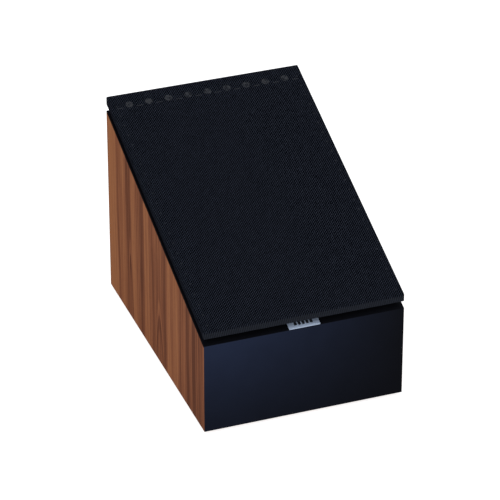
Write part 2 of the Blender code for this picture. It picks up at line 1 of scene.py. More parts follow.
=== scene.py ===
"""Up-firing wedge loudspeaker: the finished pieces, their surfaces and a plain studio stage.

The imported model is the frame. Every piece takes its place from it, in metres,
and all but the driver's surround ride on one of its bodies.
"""

import json
import math

import bmesh
import bpy
from bpy.props import FloatProperty, FloatVectorProperty, IntProperty, PointerProperty
from mathutils import Matrix, Vector, noise

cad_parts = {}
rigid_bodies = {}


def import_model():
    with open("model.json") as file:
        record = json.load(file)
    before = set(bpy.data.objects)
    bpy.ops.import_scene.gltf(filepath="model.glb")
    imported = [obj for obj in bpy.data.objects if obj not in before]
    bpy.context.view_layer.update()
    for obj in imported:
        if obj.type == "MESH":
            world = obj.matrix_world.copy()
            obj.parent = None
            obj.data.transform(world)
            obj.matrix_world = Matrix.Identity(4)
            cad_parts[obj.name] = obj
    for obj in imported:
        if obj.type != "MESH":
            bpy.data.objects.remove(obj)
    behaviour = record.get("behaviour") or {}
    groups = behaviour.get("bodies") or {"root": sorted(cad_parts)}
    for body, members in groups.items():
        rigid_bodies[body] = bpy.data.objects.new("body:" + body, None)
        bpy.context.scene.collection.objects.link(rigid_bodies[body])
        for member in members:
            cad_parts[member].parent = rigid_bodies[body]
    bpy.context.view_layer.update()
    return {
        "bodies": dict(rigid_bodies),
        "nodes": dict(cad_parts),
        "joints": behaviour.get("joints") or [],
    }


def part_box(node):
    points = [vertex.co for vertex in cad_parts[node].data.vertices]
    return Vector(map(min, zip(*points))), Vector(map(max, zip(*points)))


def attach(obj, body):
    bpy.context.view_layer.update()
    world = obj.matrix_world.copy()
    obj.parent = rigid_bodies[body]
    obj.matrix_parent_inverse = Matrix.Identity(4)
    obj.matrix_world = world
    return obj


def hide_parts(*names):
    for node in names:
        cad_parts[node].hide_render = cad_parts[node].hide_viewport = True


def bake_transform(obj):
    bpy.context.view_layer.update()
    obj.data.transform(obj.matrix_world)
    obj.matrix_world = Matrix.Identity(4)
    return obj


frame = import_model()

bl_info = {
    "name": "Wedge Loudspeaker",
    "version": (1, 0, 0),
    "blender": (4, 5, 0),
    "location": "3D View > Sidebar > Loudspeaker",
    "description": "Builds an up-firing wedge loudspeaker from its packed frame",
    "category": "Add Mesh",
}

MM = 0.001
PER_METRE = 1 / MM


def corners(node):
    """Lowest and highest corner of a node."""
    low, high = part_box(node)
    return Vector(low), Vector(high)


def middle(node):
    low, high = corners(node)
    return (low + high) / 2


# The cabinet's own directions and places, all read from the frame.
LIFT = next(joint for joint in frame["joints"] if joint["name"] == "grille_lift")
OUT = Vector(LIFT["axis"]).normalized()
TILT = math.atan2(-OUT.y, OUT.z)
DRIVER_CENTRE = middle("trim_ring")
HALF_WIDTH = corners("right_side_panel")[1].x
FRONT = corners("front_panel")[0].y
BACK = corners("back_panel")[1].y
UNDERSIDE = corners("bottom_panel")[0].z
WALL = corners("left_side_panel")[1].x + HALF_WIDTH
BAFFLE_LEVEL = OUT.dot(DRIVER_CENTRE)
BAFFLE_WALL = 15 * MM
EDGE = Vector((0, FRONT, (BAFFLE_LEVEL - OUT.y * FRONT) / OUT.z))
SLOPE_LENGTH = (BACK - FRONT) / math.cos(TILT)
LEAN = math.tan(TILT)

BAFFLE_PLACE = Matrix.Translation(EDGE) @ Matrix.Rotation(TILT, 4, "X")
DRIVER_PLACE = Matrix.Translation(DRIVER_CENTRE) @ Matrix.Rotation(TILT, 4, "X")
CUP_CENTRE = Vector((0, BACK, middle("terminal_cup").z))
BACK_PLACE = Matrix.Translation(CUP_CENTRE) @ Matrix.Rotation(-math.pi / 2, 4, "X")
GRILLE_LOW = 6.6 * MM
GRILLE_HIGH = 13.1 * MM
GRILLE_REAR = SLOPE_LENGTH + GRILLE_HIGH * LEAN
SIDE_RAIL = 5.5 * MM
FRONT_RAIL = 10 * MM
REAR_RAIL = 16.6 * MM
PEG_BLOCK = 24 * MM
REAR_PEG_BLOCK = 34 * MM
RIB_INSET = 15.8 * MM
BOSS_RELIEF = 0.12 * MM
CLOTH_EDGE = 1.1 * MM
SAG_REACH = 9 * MM
PEGS = ("front_left", "front_right", "rear_left", "rear_right")
DRIVER_SCREWS = ("driver_screw_1", "driver_screw_2", "driver_screw_3", "driver_screw_4")
CUP_SCREWS = ("cup_screw_1", "cup_screw_2")
HANGER_SCREWS = ("hanger_screw_lower", "hanger_screw_upper")
SCREW_BORE = 1.9  # radius in millimetres, as in every spun outline
FINE = 128  # steps round a large spun piece
LOOKS = {}


# ---------------------------------------------------------------- settings


def length(name, what, value):
    """Length property from millimetres."""
    return FloatProperty(name=name, description=what, default=value * MM, unit="LENGTH")


def degrees(name, what, value):
    """Angle property from degrees."""
    return FloatProperty(name=name, description=what, default=math.radians(value), subtype="ANGLE")


def whole(name, what, value):
    """Count property, of at least one."""
    return IntProperty(name=name, description=what, default=value, min=1)


def colour(name, what, value):
    """Colour property from a linear RGB value."""
    return FloatVectorProperty(name=name, description=what, default=value, subtype="COLOR", min=0, max=1)


class WedgeSizes(bpy.types.PropertyGroup):
    """Sizes that a user may change without leaving the frame."""

    edge_radius: length("Cabinet edge", "Rounding of the cabinet's edges", 0.35)
    seam: length("Panel seam", "Gap in the mitred joints", 0.04)
    cloth_thickness: length("Cloth", "Thickness of the grille cloth", 0.45)
    cloth_sag: length("Cloth sag", "Dip of the cloth over the grille's opening", 0.25)
    cloth_wrap: length("Cloth wrap", "Width of cloth glued under the grille", 5)
    weave_across: length("Weave across", "Spacing of the cloth's holes across it", 2.13)
    weave_along: length("Weave along", "Spacing of the cloth's holes up the slope", 2.235)
    weave_turn: degrees("Weave turn", "How far the cloth lies off its grain", 3.1)
    boss_count: whole("Bosses", "Number of round bosses on the grille's rear rail", 9)
    boss_spacing: length("Boss spacing", "Distance between two bosses", 18.2)
    boss_radius: length("Boss radius", "Radius of a boss", 3.5)
    boss_inset: length("Boss inset", "From the grille's rear edge to the bosses", 13.6)
    badge_bars: whole("Badge bars", "Number of level bars on the badge", 5)
    view_azimuth: degrees("View azimuth", "Camera's turn to the left of the front", 20.065)
    view_elevation: degrees("View elevation", "Camera's height above the ground plane", 30.645)
    view_distance: length("View distance", "Camera's distance from its aim", 2760.6)


class WedgeColours(bpy.types.PropertyGroup):
    """Colours of the loudspeaker's finishes."""

    walnut_light: colour("Walnut, light", "Light bands of the walnut vinyl", (0.2190, 0.0885, 0.0403))
    walnut_middle: colour("Walnut, middle", "Middle tone of the walnut vinyl", (0.1465, 0.0532, 0.0272))
    walnut_dark: colour("Walnut, dark", "Dark streaks of the walnut vinyl", (0.0730, 0.0265, 0.0152))
    black_vinyl: colour("Black vinyl", "Front and baffle", (0.0026, 0.0028, 0.0040))
    # Painted sheen: a bluish highlight painted into the front's colour, strongest high on its left.
    painted_vinyl_sheen: colour("Vinyl sheen", "Bluish tone where the front catches light", (0.0096, 0.0138, 0.0300))
    cloth_thread: colour("Cloth thread", "Threads of the grille cloth", (0.0945, 0.1110, 0.1570))
    # Painted shade: the cloth is opaque, so its holes get a near-black tone for the black baffle seen in
    # shade through the knit.
    cloth_hole_shade: colour("Cloth hole", "Holes of the grille cloth", (0.0004, 0.0006, 0.0014))
    badge: colour("Badge", "Brushed badge plate", (0.33, 0.40, 0.53))
    positive: colour("Positive knob", "Ring of the positive knob", (0.42, 0.012, 0.014))
    floor: colour("Floor", "Studio floor", (0.40, 0.40, 0.40))


# ---------------------------------------------------------------- mesh tools


def finish(name, shape, material, body, nodes=(), place=None, angle=35.0):
    """Object from a bmesh, closed and facing outwards, which rides on a body and stands for some nodes."""
    bmesh.ops.remove_doubles(shape, verts=shape.verts, dist=0.0005 * MM)
    bmesh.ops.recalc_face_normals(shape, faces=shape.faces)
    mesh = bpy.data.meshes.new(name)
    shape.to_mesh(mesh)
    shape.free()
    if place is not None:
        mesh.transform(place)
    piece = bpy.data.objects.new(name, mesh)
    bpy.context.scene.collection.objects.link(piece)
    return settle_in(piece, material, body, nodes, angle)


def settle_in(piece, material, body, nodes=(), angle=35.0):
    """Gives a finished mesh its material, smooth shading and body, and hides the nodes it stands for."""
    mesh = piece.data
    mesh.materials.clear()
    mesh.materials.append(LOOKS[material])
    mesh.shade_smooth()
    mesh.set_sharp_from_angle(angle=math.radians(angle))
    if body:
        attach(piece, body)
    if nodes:
        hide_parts(*nodes)
    return piece


def applied(piece):
    """Turns the result of a piece's modifiers into its plain mesh."""
    bpy.context.view_layer.update()
    graph = bpy.context.evaluated_depsgraph_get()
    mesh = bpy.data.meshes.new_from_object(piece.evaluated_get(graph))
    piece.modifiers.clear()
    piece.data = mesh
    return piece


def helper(name, shape, place=None):
    """Loose object from a bmesh, such as a cutter, which is removed later."""
    bmesh.ops.recalc_face_normals(shape, faces=shape.faces)
    mesh = bpy.data.meshes.new(name)
    shape.to_mesh(mesh)
    shape.free()
    if place is not None:
        mesh.transform(place)
    item = bpy.data.objects.new(name, mesh)
    bpy.context.scene.collection.objects.link(item)
    return item


def carve(shape, cutters):
    """Bmesh with some (bmesh, place) cutters taken out of it."""
    body = helper("uncut", shape)
    tools = [helper("cutter", cutter, place) for cutter, place in cutters]
    for tool in tools:
        modifier = body.modifiers.new("cut", "BOOLEAN")
        modifier.operation = "DIFFERENCE"
        modifier.solver = "EXACT"
        modifier.object = tool
    applied(body)
    result = bmesh.new()
    result.from_mesh(body.data)
    for item in (body, *tools):
        bpy.data.objects.remove(item)
    return result


def spun(outline, steps=96, ripple=None):
    """Solid of revolution about Z, from (radius, height) points in millimetres.

    An outline that starts and ends on the axis gives a solid piece, any other a ring.
    A ripple gives the share of a radius that is kept at an angle."""
    shape = bmesh.new()
    rings = []
    for radius, height in outline:
        if radius < 1e-6:
            rings.append([shape.verts.new((0, 0, height * MM))])
            continue
        ring = []
        for step in range(steps):
            angle = math.tau * step / steps
            reach = radius * MM * (ripple(radius, height, angle) if ripple else 1)
            ring.append(shape.verts.new((reach * math.cos(angle), reach * math.sin(angle), height * MM)))
        rings.append(ring)
    on_axis = outline[0][0] < 1e-6 and outline[-1][0] < 1e-6
    following = rings[1:] if on_axis else rings[1:] + rings[:1]
    for ring, other in zip(rings, following):
        for step in range(steps):
            around = (step + 1) % steps
            face = [ring[step % len(ring)], ring[around % len(ring)]]
            face += [other[around % len(other)], other[step % len(other)]]
            face = list(dict.fromkeys(face))
            if len(face) > 2:
                shape.faces.new(face)
    return shape


def rounded(outline, radius, steps=3):
    """Outline with its corners rounded, apart from those on the axis."""
    soft = []
    count = len(outline)
    for index, corner in enumerate(outline):
        here = Vector(corner)
        if here.x < 1e-6:
            soft.append(here)
            continue
        before = Vector(outline[index - 1]) - here
        after = Vector(outline[(index + 1) % count]) - here
        reach = min(radius, 0.45 * before.length, 0.45 * after.length)
        start = here + before.normalized() * reach
        end = here + after.normalized() * reach
        for step in range(steps + 1):
            share = step / steps
            soft.append((1 - share) ** 2 * start + 2 * share * (1 - share) * here + share**2 * end)
    return [tuple(point) for point in soft]


def prism(outline, low, high):
    """Solid over a flat outline of (x, y) points, from one height to another."""
    shape = bmesh.new()
    base = shape.faces.new([shape.verts.new((x, y, low)) for x, y in outline])
    grown = bmesh.ops.extrude_face_region(shape, geom=[base])["geom"]
    top = [item for item in grown if isinstance(item, bmesh.types.BMVert)]
    bmesh.ops.translate(shape, verts=top, vec=(0, 0, high - low))
    return shape


def block(low, high):
    """Box between two corners."""
    (left, front, bottom), (right, back, top) = low, high
    return prism([(left, front), (right, front), (right, back), (left, back)], bottom, top)


def rod(radius, low, high, steps=40):
    """Cylinder about Z, in millimetres."""
    return spun([(0, low), (radius, low), (radius, high), (0, high)], steps)


def arc(centre, radius, start, end, steps):
    """(x, y) points along an arc, with its angles in degrees."""
    angles = [math.radians(start + (end - start) * index / steps) for index in range(steps + 1)]
    return [(centre[0] + radius * math.cos(a), centre[1] + radius * math.sin(a)) for a in angles]


def rounded_rectangle(half_width, half_height, radius, steps=6):
    x = half_width - radius
    y = half_height - radius
    outline = []
    for centre, start in (((x, y), 0), ((-x, y), 90), ((-x, -y), 180), ((x, -y), 270)):
        outline += arc(centre, radius, start, start + 90, steps)
    return outline


def soften(shape, radius, angle=30.0, segments=2, keep=None):
    """Rounds the edges of a bmesh that turn by more than an angle."""
    limit = math.radians(angle)
    edges = [
        edge
        for edge in shape.edges
        if len(edge.link_faces) == 2 and edge.calc_face_angle() > limit and (keep is None or keep(edge))
    ]
    settings = {"offset_type": "OFFSET", "profile": 0.5, "affect": "EDGES"}
    bmesh.ops.bevel(shape, geom=edges, offset=radius, segments=segments, **settings)
    return shape


def slanted_slab(low, high, half_width, inset=0.0):
    """Slab parallel to the baffle in the baffle's frame, with upright ends."""
    outline = [
        (low * LEAN + inset, low),
        (low * LEAN + SLOPE_LENGTH - inset, low),
        (high * LEAN + SLOPE_LENGTH - inset, high),
        (high * LEAN + inset, high),
    ]
    shape = prism(outline, -half_width, half_width)
    along_x = Matrix(((0, 0, 1, 0), (1, 0, 0, 0), (0, 1, 0, 0), (0, 0, 0, 1)))
    bmesh.ops.transform(shape, matrix=along_x, verts=shape.verts)
    return shape


# ---------------------------------------------------------------- node tools


def feed(tree, sockets, values):
    """Sets each socket to a value, or links it where the value is another socket."""
    for socket, value in zip(sockets, values):
        if isinstance(value, bpy.types.NodeSocket):
            tree.links.new(value, socket)
        elif value is not None:
            socket.default_value = value


def node(tree, kind, inputs=None, **settings):
    """New node with its settings, and its inputs by name or number."""
    made = tree.nodes.new(kind)
    for name, value in settings.items():
        setattr(made, name, value)
    for key, value in (inputs or {}).items():
        feed(tree, [made.inputs[key]], [value])
    return made


def number(tree, operation, *values, clamp=False):
    made = node(tree, "ShaderNodeMath", operation=operation, use_clamp=clamp)
    feed(tree, made.inputs, values)
    return made.outputs[0]


def split(tree, vector):
    """The three axes of a vector."""
    return node(tree, "ShaderNodeSeparateXYZ", {0: vector}).outputs


def joined(tree, x=0.0, y=0.0, z=0.0):
    """Vector from its three axes."""
    return node(tree, "ShaderNodeCombineXYZ", {0: x, 1: y, 2: z}).outputs[0]


def hypotenuse(tree, first, second):
    squares = [number(tree, "POWER", value, 2.0) for value in (first, second)]
    return number(tree, "SQRT", number(tree, "ADD", *squares))


def apart(tree, value, level):
    """How far a value is from a level."""
    return number(tree, "ABSOLUTE", number(tree, "SUBTRACT", value, level))


def vector_math(tree, operation, first, second):
    """Outputs of a vector operation on two values. The second one of a SCALE is its factor."""
    key = "Scale" if operation == "SCALE" else 1
    return node(tree, "ShaderNodeVectorMath", {0: first, key: second}, operation=operation).outputs


def speckle(tree, vector, scale, detail=3.0, roughness=0.55):
    """Smooth noise from 0 to 1."""
    inputs = {"Vector": vector, "Scale": scale, "Detail": detail, "Roughness": roughness}
    return node(tree, "ShaderNodeTexNoise", inputs).outputs["Fac"]


def stretch(tree, vector, scale):
    return node(tree, "ShaderNodeMapping", {"Vector": vector, "Scale": scale}).outputs[0]


def between(tree, value, low, high, to_low=0.0, to_high=1.0, smooth=True):
    """Value moved from one range to another, and held at its ends."""
    kind = "SMOOTHSTEP" if smooth else "LINEAR"
    made = node(tree, "ShaderNodeMapRange", interpolation_type=kind)
    feed(tree, made.inputs, (value, low, high, to_low, to_high))
    return made.outputs[0]


def mixed(tree, factor, first, second, blend="MIX"):
    """Mix of two colours."""
    made = node(tree, "ShaderNodeMix", data_type="RGBA", blend_type=blend)
    feed(tree, (made.inputs[0], made.inputs[6], made.inputs[7]), (factor, first, second))
    return made.outputs[2]


def curve(tree, value, points):
    """Value read from a curve through (position, height) points."""
    made = node(tree, "ShaderNodeFloatCurve", {"Value": value})
    line = made.mapping.curves[0]
    line.points[0].location = points[0]
    line.points[1].location = points[-1]
    for point in points[1:-1]:
        line.points.new(*point)
    made.mapping.update()
    return made.outputs[0]


def effect(name, **inputs):
    """New shader node group with its inputs' defaults. It puts out colour, roughness and height."""
    tree = bpy.data.node_groups.new(name, "ShaderNodeTree")
    for label, value in inputs.items():
        kind = "Float" if isinstance(value, float) else {3: "Vector", 4: "Color"}[len(value)]
        socket = tree.interface.new_socket(label, in_out="INPUT", socket_type=f"NodeSocket{kind}")
        socket.default_value = value
    for label, kind in (("Color", "Color"), ("Roughness", "Float"), ("Height", "Float")):
        tree.interface.new_socket(label, in_out="OUTPUT", socket_type=f"NodeSocket{kind}")
    source = tree.nodes.new("NodeGroupInput")
    sink = tree.nodes.new("NodeGroupOutput")
    return tree, source.outputs, sink.inputs


def use(tree, name, **inputs):
    """A shader node group placed in a tree, with its inputs set or linked. Underscores stand for spaces."""
    made = node(tree, "ShaderNodeGroup")
    made.node_tree = bpy.data.node_groups[name]
    for label, value in inputs.items():
        feed(tree, [made.inputs[label.replace("_", " ")]], [value])
    return made.outputs


def local_point(tree, place=None):
    """The piece's own coordinates, or those of a place on it."""
    point = tree.nodes.new("ShaderNodeTexCoord").outputs["Object"]
    if place is None:
        return point
    moved, turned, _ = place.inverted().decompose()
    inputs = {"Vector": point, "Location": moved, "Rotation": turned.to_euler()}
    return node(tree, "ShaderNodeMapping", inputs, vector_type="POINT").outputs[0]


def material(name):
    """New material with a Principled shader, kept among the looks: the tree and the shader."""
    made = bpy.data.materials.new(f"{name}_look")
    made.use_nodes = True
    LOOKS[name] = made
    return made.node_tree, made.node_tree.nodes["Principled BSDF"]


def surface(tree, shader, tone, roughness, height=None, depth=0.0, **constants):
    """Links colour, roughness and relief to a shader, and sets its constants. An effect's outputs
    come in the same order."""
    feed(tree, (shader.inputs["Base Color"], shader.inputs["Roughness"]), (tone, roughness))
    for name, value in constants.items():
        shader.inputs[name.replace("_", " ")].default_value = value
    if height is not None:
        bump = node(tree, "ShaderNodeBump", {"Height": height, "Distance": depth, "Strength": 1.0})
        tree.links.new(bump.outputs[0], shader.inputs["Normal"])


def rgba(value):
    return (*value, 1.0)


# ---------------------------------------------------------------- effects

# Tone of the walnut sheet across its width: distance in millimetres, then lightness.
WALNUT_BANDS = (
    (0, 0.94), (14, 1.0), (22, 0.92), (26, 0.58), (30, 0.48), (35, 0.60), (40, 0.84), (46, 0.66),
    (52, 0.36), (57, 0.18), (65, 0.36), (73, 0.86), (80, 0.54), (88, 0.44), (94, 0.16), (101, 0.72),
    (114, 0.72), (125, 0.32), (130, 0.48), (138, 0.36), (146, 0.52), (154, 0.22), (162, 0.80), (170, 0.85),
    (175, 0.60), (184, 0.84), (191, 0.50), (198, 0.40), (204, 0.60), (211, 0.30), (218, 0.10), (223, 0.44),
    (231, 0.06), (238, 0.26), (245, 0.14), (250, 0.40), (257, 0.14),
)
WALNUT_SHEET = 257.0
# Pointed figures in the sheet: distance across, height of the heart, width at the foot, strength.
WALNUT_POINTS = ((61, 68, 7.0, 0.85), (140, 50, 10.5, 0.95))
# Lightness of a figure's growth rings, from under its heart outwards.
FIGURE_RINGS = (
    (0, 0.45), (0.2, 0.30), (0.34, 0.05), (0.43, 0.10), (0.52, 0.60),
    (0.62, 0.66), (0.76, 0.34), (0.9, 0.28), (1, 0.4),
)


def make_walnut_effect():
    """Walnut figure over a sheet: bands and streaks along the grain, pointed figures and fine pores."""
    tree, given, result = effect(
        "Walnut figure",
        Across=0.0,
        Along=0.0,
        Seed=0.0,
        Light=(0.24, 0.1, 0.05, 1),
        Middle=(0.2, 0.07, 0.04, 1),
        Dark=(0.12, 0.04, 0.03, 1),
    )
    across = number(tree, "MULTIPLY", given["Across"], PER_METRE)
    along = number(tree, "MULTIPLY", given["Along"], PER_METRE)
    point = joined(tree, across, along, given["Seed"])
    wander = speckle(tree, stretch(tree, point, (0.03, 0.012, 1)), 1.0, 2.0)
    wander = number(tree, "MULTIPLY_ADD", wander, 3.0, -1.5)
    drawn = number(tree, "ADD", across, wander)
    share = number(tree, "FRACT", number(tree, "DIVIDE", drawn, WALNUT_SHEET))
    tone = curve(tree, share, [(distance / WALNUT_SHEET, light) for distance, light in WALNUT_BANDS])
    for figure in WALNUT_POINTS:
        tone = pointed_figure(tree, tone, drawn, along, *figure)
    drawn_point = joined(tree, drawn, along, given["Seed"])
    streaks = speckle(tree, stretch(tree, drawn_point, (0.55, 0.004, 1)), 1.0, 2.0)
    fibres = speckle(tree, stretch(tree, drawn_point, (1.5, 0.012, 1)), 1.0, 3.0, 0.6)
    clouds = speckle(tree, stretch(tree, point, (0.05, 0.02, 1)), 1.0, 2.0)
    streaks = between(tree, streaks, 0.30, 0.70, smooth=False)
    fibres = between(tree, fibres, 0.28, 0.72, smooth=False)
    for layer, weight in ((streaks, 0.85), (fibres, 0.62), (clouds, 0.22)):
        tone = number(tree, "ADD", tone, number(tree, "MULTIPLY_ADD", layer, weight, -weight / 2))
    pores = speckle(tree, stretch(tree, point, (2.6, 0.10, 1)), 1.0, 2.0)
    pores = between(tree, pores, 0.60, 0.70)
    dark = mixed(tree, between(tree, tone, 0.0, 0.5, smooth=False), given["Dark"], given["Middle"])
    wood = mixed(tree, between(tree, tone, 0.5, 1.0, smooth=False), dark, given["Light"])
    wood = mixed(tree, number(tree, "MULTIPLY", pores, 0.45), wood, given["Dark"])
    roughness = number(tree, "MULTIPLY_ADD", tone, -0.10, 0.50)
    height = number(tree, "MULTIPLY_ADD", pores, -1.0, number(tree, "MULTIPLY", fibres, 0.5))
    feed(tree, result, (wood, roughness, height))


def pointed_figure(tree, tone, across, along, centre, top, foot, strength):
    """Pointed growth rings round a dark heart, whose legs run down the grain."""
    sideways = number(tree, "SUBTRACT", across, float(centre))
    squared = number(tree, "MULTIPLY", sideways, sideways)
    rise = number(tree, "SUBTRACT", along, float(top))
    level = number(tree, "MULTIPLY_ADD", squared, top / foot**2, rise)
    rings = curve(tree, between(tree, level, -30.0, 34.0, smooth=False), FIGURE_RINGS)
    narrow = between(tree, number(tree, "ABSOLUTE", sideways), foot, foot * 1.4, strength, 0.0)
    low = between(tree, level, 14.0, 30.0, 1.0, 0.0)
    share = number(tree, "MULTIPLY", narrow, low)
    made = node(tree, "ShaderNodeMix", data_type="FLOAT")
    feed(tree, (made.inputs[0], made.inputs[2], made.inputs[3]), (share, tone, rings))
    return made.outputs[0]


def make_moulded_effect():
    """Slight mottle, dust and fine grain of a moulded, painted or rubber surface."""
    tree, given, result = effect(
        "Moulded surface",
        Vector=(0, 0, 0),
        Color=(0.02, 0.02, 0.02, 1),
        Grain=0.4,
        Variation=0.25,
        Roughness=0.5,
        Dust=0.1,
    )
    scale = number(tree, "DIVIDE", PER_METRE, given["Grain"])
    grain = speckle(tree, given["Vector"], scale, 2.0)
    mottle = speckle(tree, given["Vector"], 60.0, 4.0)
    lint = between(tree, speckle(tree, given["Vector"], 420.0, 2.0), 0.66, 0.78)
    shift = number(tree, "MULTIPLY", number(tree, "SUBTRACT", mottle, 0.5), given["Variation"])
    gain = number(tree, "MULTIPLY_ADD", shift, 2.0, 1.0)
    toned = vector_math(tree, "SCALE", given["Color"], gain)[0]
    share = number(tree, "MULTIPLY", lint, given["Dust"])
    dusty = mixed(tree, share, toned, (0.11, 0.11, 0.115, 1))
    change = number(tree, "MULTIPLY_ADD", number(tree, "SUBTRACT", grain, 0.5), 0.16, given["Roughness"])
    roughness = number(tree, "MULTIPLY_ADD", shift, 0.4, change, clamp=True)
    feed(tree, result, (dusty, roughness, grain))


def make_metal_effect():
    """Brushed or turned metal, with its lines along the second axis of the vector."""
    tree, given, result = effect(
        "Brushed metal",
        Vector=(0, 0, 0),
        Color=(0.6, 0.6, 0.62, 1),
        Line=0.12,
        Roughness=0.3,
        Tarnish=0.2,
    )
    scale = number(tree, "DIVIDE", PER_METRE, given["Line"])
    lines = speckle(tree, stretch(tree, given["Vector"], (1, 0.02, 1)), scale, 2.0)
    stain = speckle(tree, given["Vector"], 90.0, 4.0)
    stain = number(tree, "MULTIPLY", between(tree, stain, 0.45, 0.75), given["Tarnish"])
    dull = vector_math(tree, "SCALE", given["Color"], 0.55)[0]
    tone = mixed(tree, stain, given["Color"], dull)
    tone = mixed(tree, number(tree, "MULTIPLY", lines, 0.22), tone, (0, 0, 0, 1))
    change = number(tree, "MULTIPLY_ADD", number(tree, "SUBTRACT", lines, 0.5), 0.25, given["Roughness"])
    roughness = number(tree, "ADD", change, number(tree, "MULTIPLY", stain, 0.5), clamp=True)
    feed(tree, result, (tone, roughness, lines))


def make_lattice_effect():
    """Fine knitted lattice with staggered holes."""
    tree, given, result = effect(
        "Knitted lattice",
        Vector=(0, 0, 0),
        Across=2.1 * MM,
        Along=2.2 * MM,
        Thread=(0.02, 0.02, 0.03, 1),
        Hole=(0.001, 0.001, 0.001, 1),
    )
    wobble = node(tree, "ShaderNodeTexNoise", {"Vector": given["Vector"], "Scale": 45.0, "Detail": 2.0})
    wobble = vector_math(tree, "SUBTRACT", wobble.outputs["Color"], (0.5, 0.5, 0.5))[0]
    wobble = vector_math(tree, "SCALE", wobble, 0.3 * MM)[0]
    axes = split(tree, vector_math(tree, "ADD", given["Vector"], wobble)[0])
    waves = []
    for axis, pitch in ((axes[0], given["Across"]), (axes[1], given["Along"])):
        turn = number(tree, "DIVIDE", number(tree, "ADD", axis, axes[2]), pitch)
        waves.append(number(tree, "COSINE", number(tree, "MULTIPLY", turn, math.tau)))
    lattice = number(tree, "MULTIPLY", *waves)
    fibre = speckle(tree, given["Vector"], 1900.0, 2.0)
    uneven = speckle(tree, given["Vector"], 260.0, 2.0)
    lattice = number(tree, "MULTIPLY_ADD", number(tree, "SUBTRACT", uneven, 0.5), 0.2, lattice)
    thread = between(tree, lattice, 0.55, 1.0)
    # Between the threads lies the painted hole tone: the shade seen through the knit, painted in.
    tone = mixed(tree, thread, given["Hole"], given["Thread"])
    tone = mixed(tree, number(tree, "MULTIPLY", fibre, 0.25), tone, (0.3, 0.3, 0.3, 1), "MULTIPLY")
    roughness = number(tree, "MULTIPLY_ADD", fibre, 0.2, 0.7)
    height = number(tree, "MULTIPLY_ADD", fibre, 0.3, thread)
    feed(tree, result, (tone, roughness, height))


def make_fibre_effect():
    """Tangled fibres, for pressed paper, wadding and coated cloth."""
    tree, given, result = effect(
        "Tangled fibres",
        Vector=(0, 0, 0),
        Color=(0.5, 0.5, 0.5, 1),
        Deep=(0.3, 0.3, 0.3, 1),
        Size=1.0,
    )
    scale = number(tree, "DIVIDE", PER_METRE, given["Size"])
    tangle = speckle(tree, given["Vector"], scale, 5.0, 0.65)
    fine = speckle(tree, stretch(tree, given["Vector"], (1, 4, 2)), scale, 4.0, 0.7)
    both = number(tree, "MULTIPLY", tangle, fine)
    share = between(tree, both, 0.12, 0.42)
    tone = mixed(tree, share, given["Deep"], given["Color"])
    roughness = number(tree, "MULTIPLY_ADD", share, -0.15, 0.9)
    feed(tree, result, (tone, roughness, both))


# ---------------------------------------------------------------- finishes


def satin(tree, shader, weight):
    """Thin satin coat that fades towards grazing angles."""
    facing = node(tree, "ShaderNodeLayerWeight", {"Blend": 0.5}).outputs["Facing"]
    straight = number(tree, "POWER", number(tree, "SUBTRACT", 1.0, facing), 2.0)
    tree.links.new(number(tree, "MULTIPLY", straight, weight), shader.inputs["Coat Weight"])
    shader.inputs["Coat Roughness"].default_value = 0.38


def make_walnut(name, across, along, offset, rise, seed, colours, blackened=True):
    """Walnut vinyl. across and along are the sheet's directions as axes, with the offsets of its edges."""
    tree, shader = material(name)
    point = local_point(tree)
    directions = []
    for axis, shift in ((across, offset), (along, rise)):
        dot = vector_math(tree, "DOT_PRODUCT", point, axis)["Value"]
        directions.append(number(tree, "ADD", dot, shift))
    wood = use(
        tree,
        "Walnut figure",
        Across=directions[0],
        Along=directions[1],
        Seed=seed,
        Light=rgba(colours.walnut_light),
        Middle=rgba(colours.walnut_middle),
        Dark=rgba(colours.walnut_dark),
    )
    tone = wood["Color"]
    if blackened:
        level = vector_math(tree, "DOT_PRODUCT", point, tuple(OUT))["Value"]
        wrap = between(tree, level, BAFFLE_LEVEL - 1.25 * MM, BAFFLE_LEVEL - 1.0 * MM)
        tone = mixed(tree, wrap, tone, (0.002, 0.002, 0.0025, 1))
    surface(tree, shader, tone, wood["Roughness"], wood["Height"], 0.03 * MM, Specular_IOR_Level=0.0)
    satin(tree, shader, 0.26)


def make_black_vinyl(name, colours, sheen):
    """Satin black vinyl with a fine print, and a painted bluish sheen: a highlight painted into its colour
    high on its left.
    """
    tree, shader = material(name)
    point = local_point(tree)
    tone = rgba(colours.black_vinyl)
    # Painted sheen: the colour turns bluish towards the top left and fades to the right and downwards, a
    # highlight painted into the base colour.
    if sheen:
        axes = split(tree, point)
        sideways = between(tree, axes[0], -HALF_WIDTH + 25 * MM, HALF_WIDTH + 5 * MM, 1.0, 0.0, smooth=False)
        upward = between(tree, axes[2], UNDERSIDE, EDGE.z, smooth=False)
        upward = number(tree, "MULTIPLY_ADD", number(tree, "POWER", upward, 1.3), 0.75, 0.25)
        cloud = number(tree, "MULTIPLY_ADD", speckle(tree, point, 16.0, 2.0), 0.16, 0.92)
        share = number(tree, "MULTIPLY", number(tree, "MULTIPLY", sideways, upward), cloud)
        tone = mixed(tree, share, tone, rgba(colours.painted_vinyl_sheen))
    values = {"Grain": 0.35, "Variation": 0.12, "Roughness": 0.36, "Dust": 0.03}
    body = use(tree, "Moulded surface", Vector=point, Color=tone, **values)
    surface(tree, shader, *body, 0.006 * MM, Specular_IOR_Level=0.0)
    satin(tree, shader, 0.05)


def make_moulded(name, tone, roughness, grain, depth, variation=0.25, dust=0.1, **constants):
    """Moulded, painted or rubber finish, with its grain and relief in millimetres."""
    tree, shader = material(name)
    body = use(
        tree,
        "Moulded surface",
        Vector=local_point(tree),
        Color=rgba(tone),
        Grain=grain,
        Variation=variation,
        Roughness=roughness,
        Dust=dust,
    )
    surface(tree, shader, *body, depth * MM, **constants)


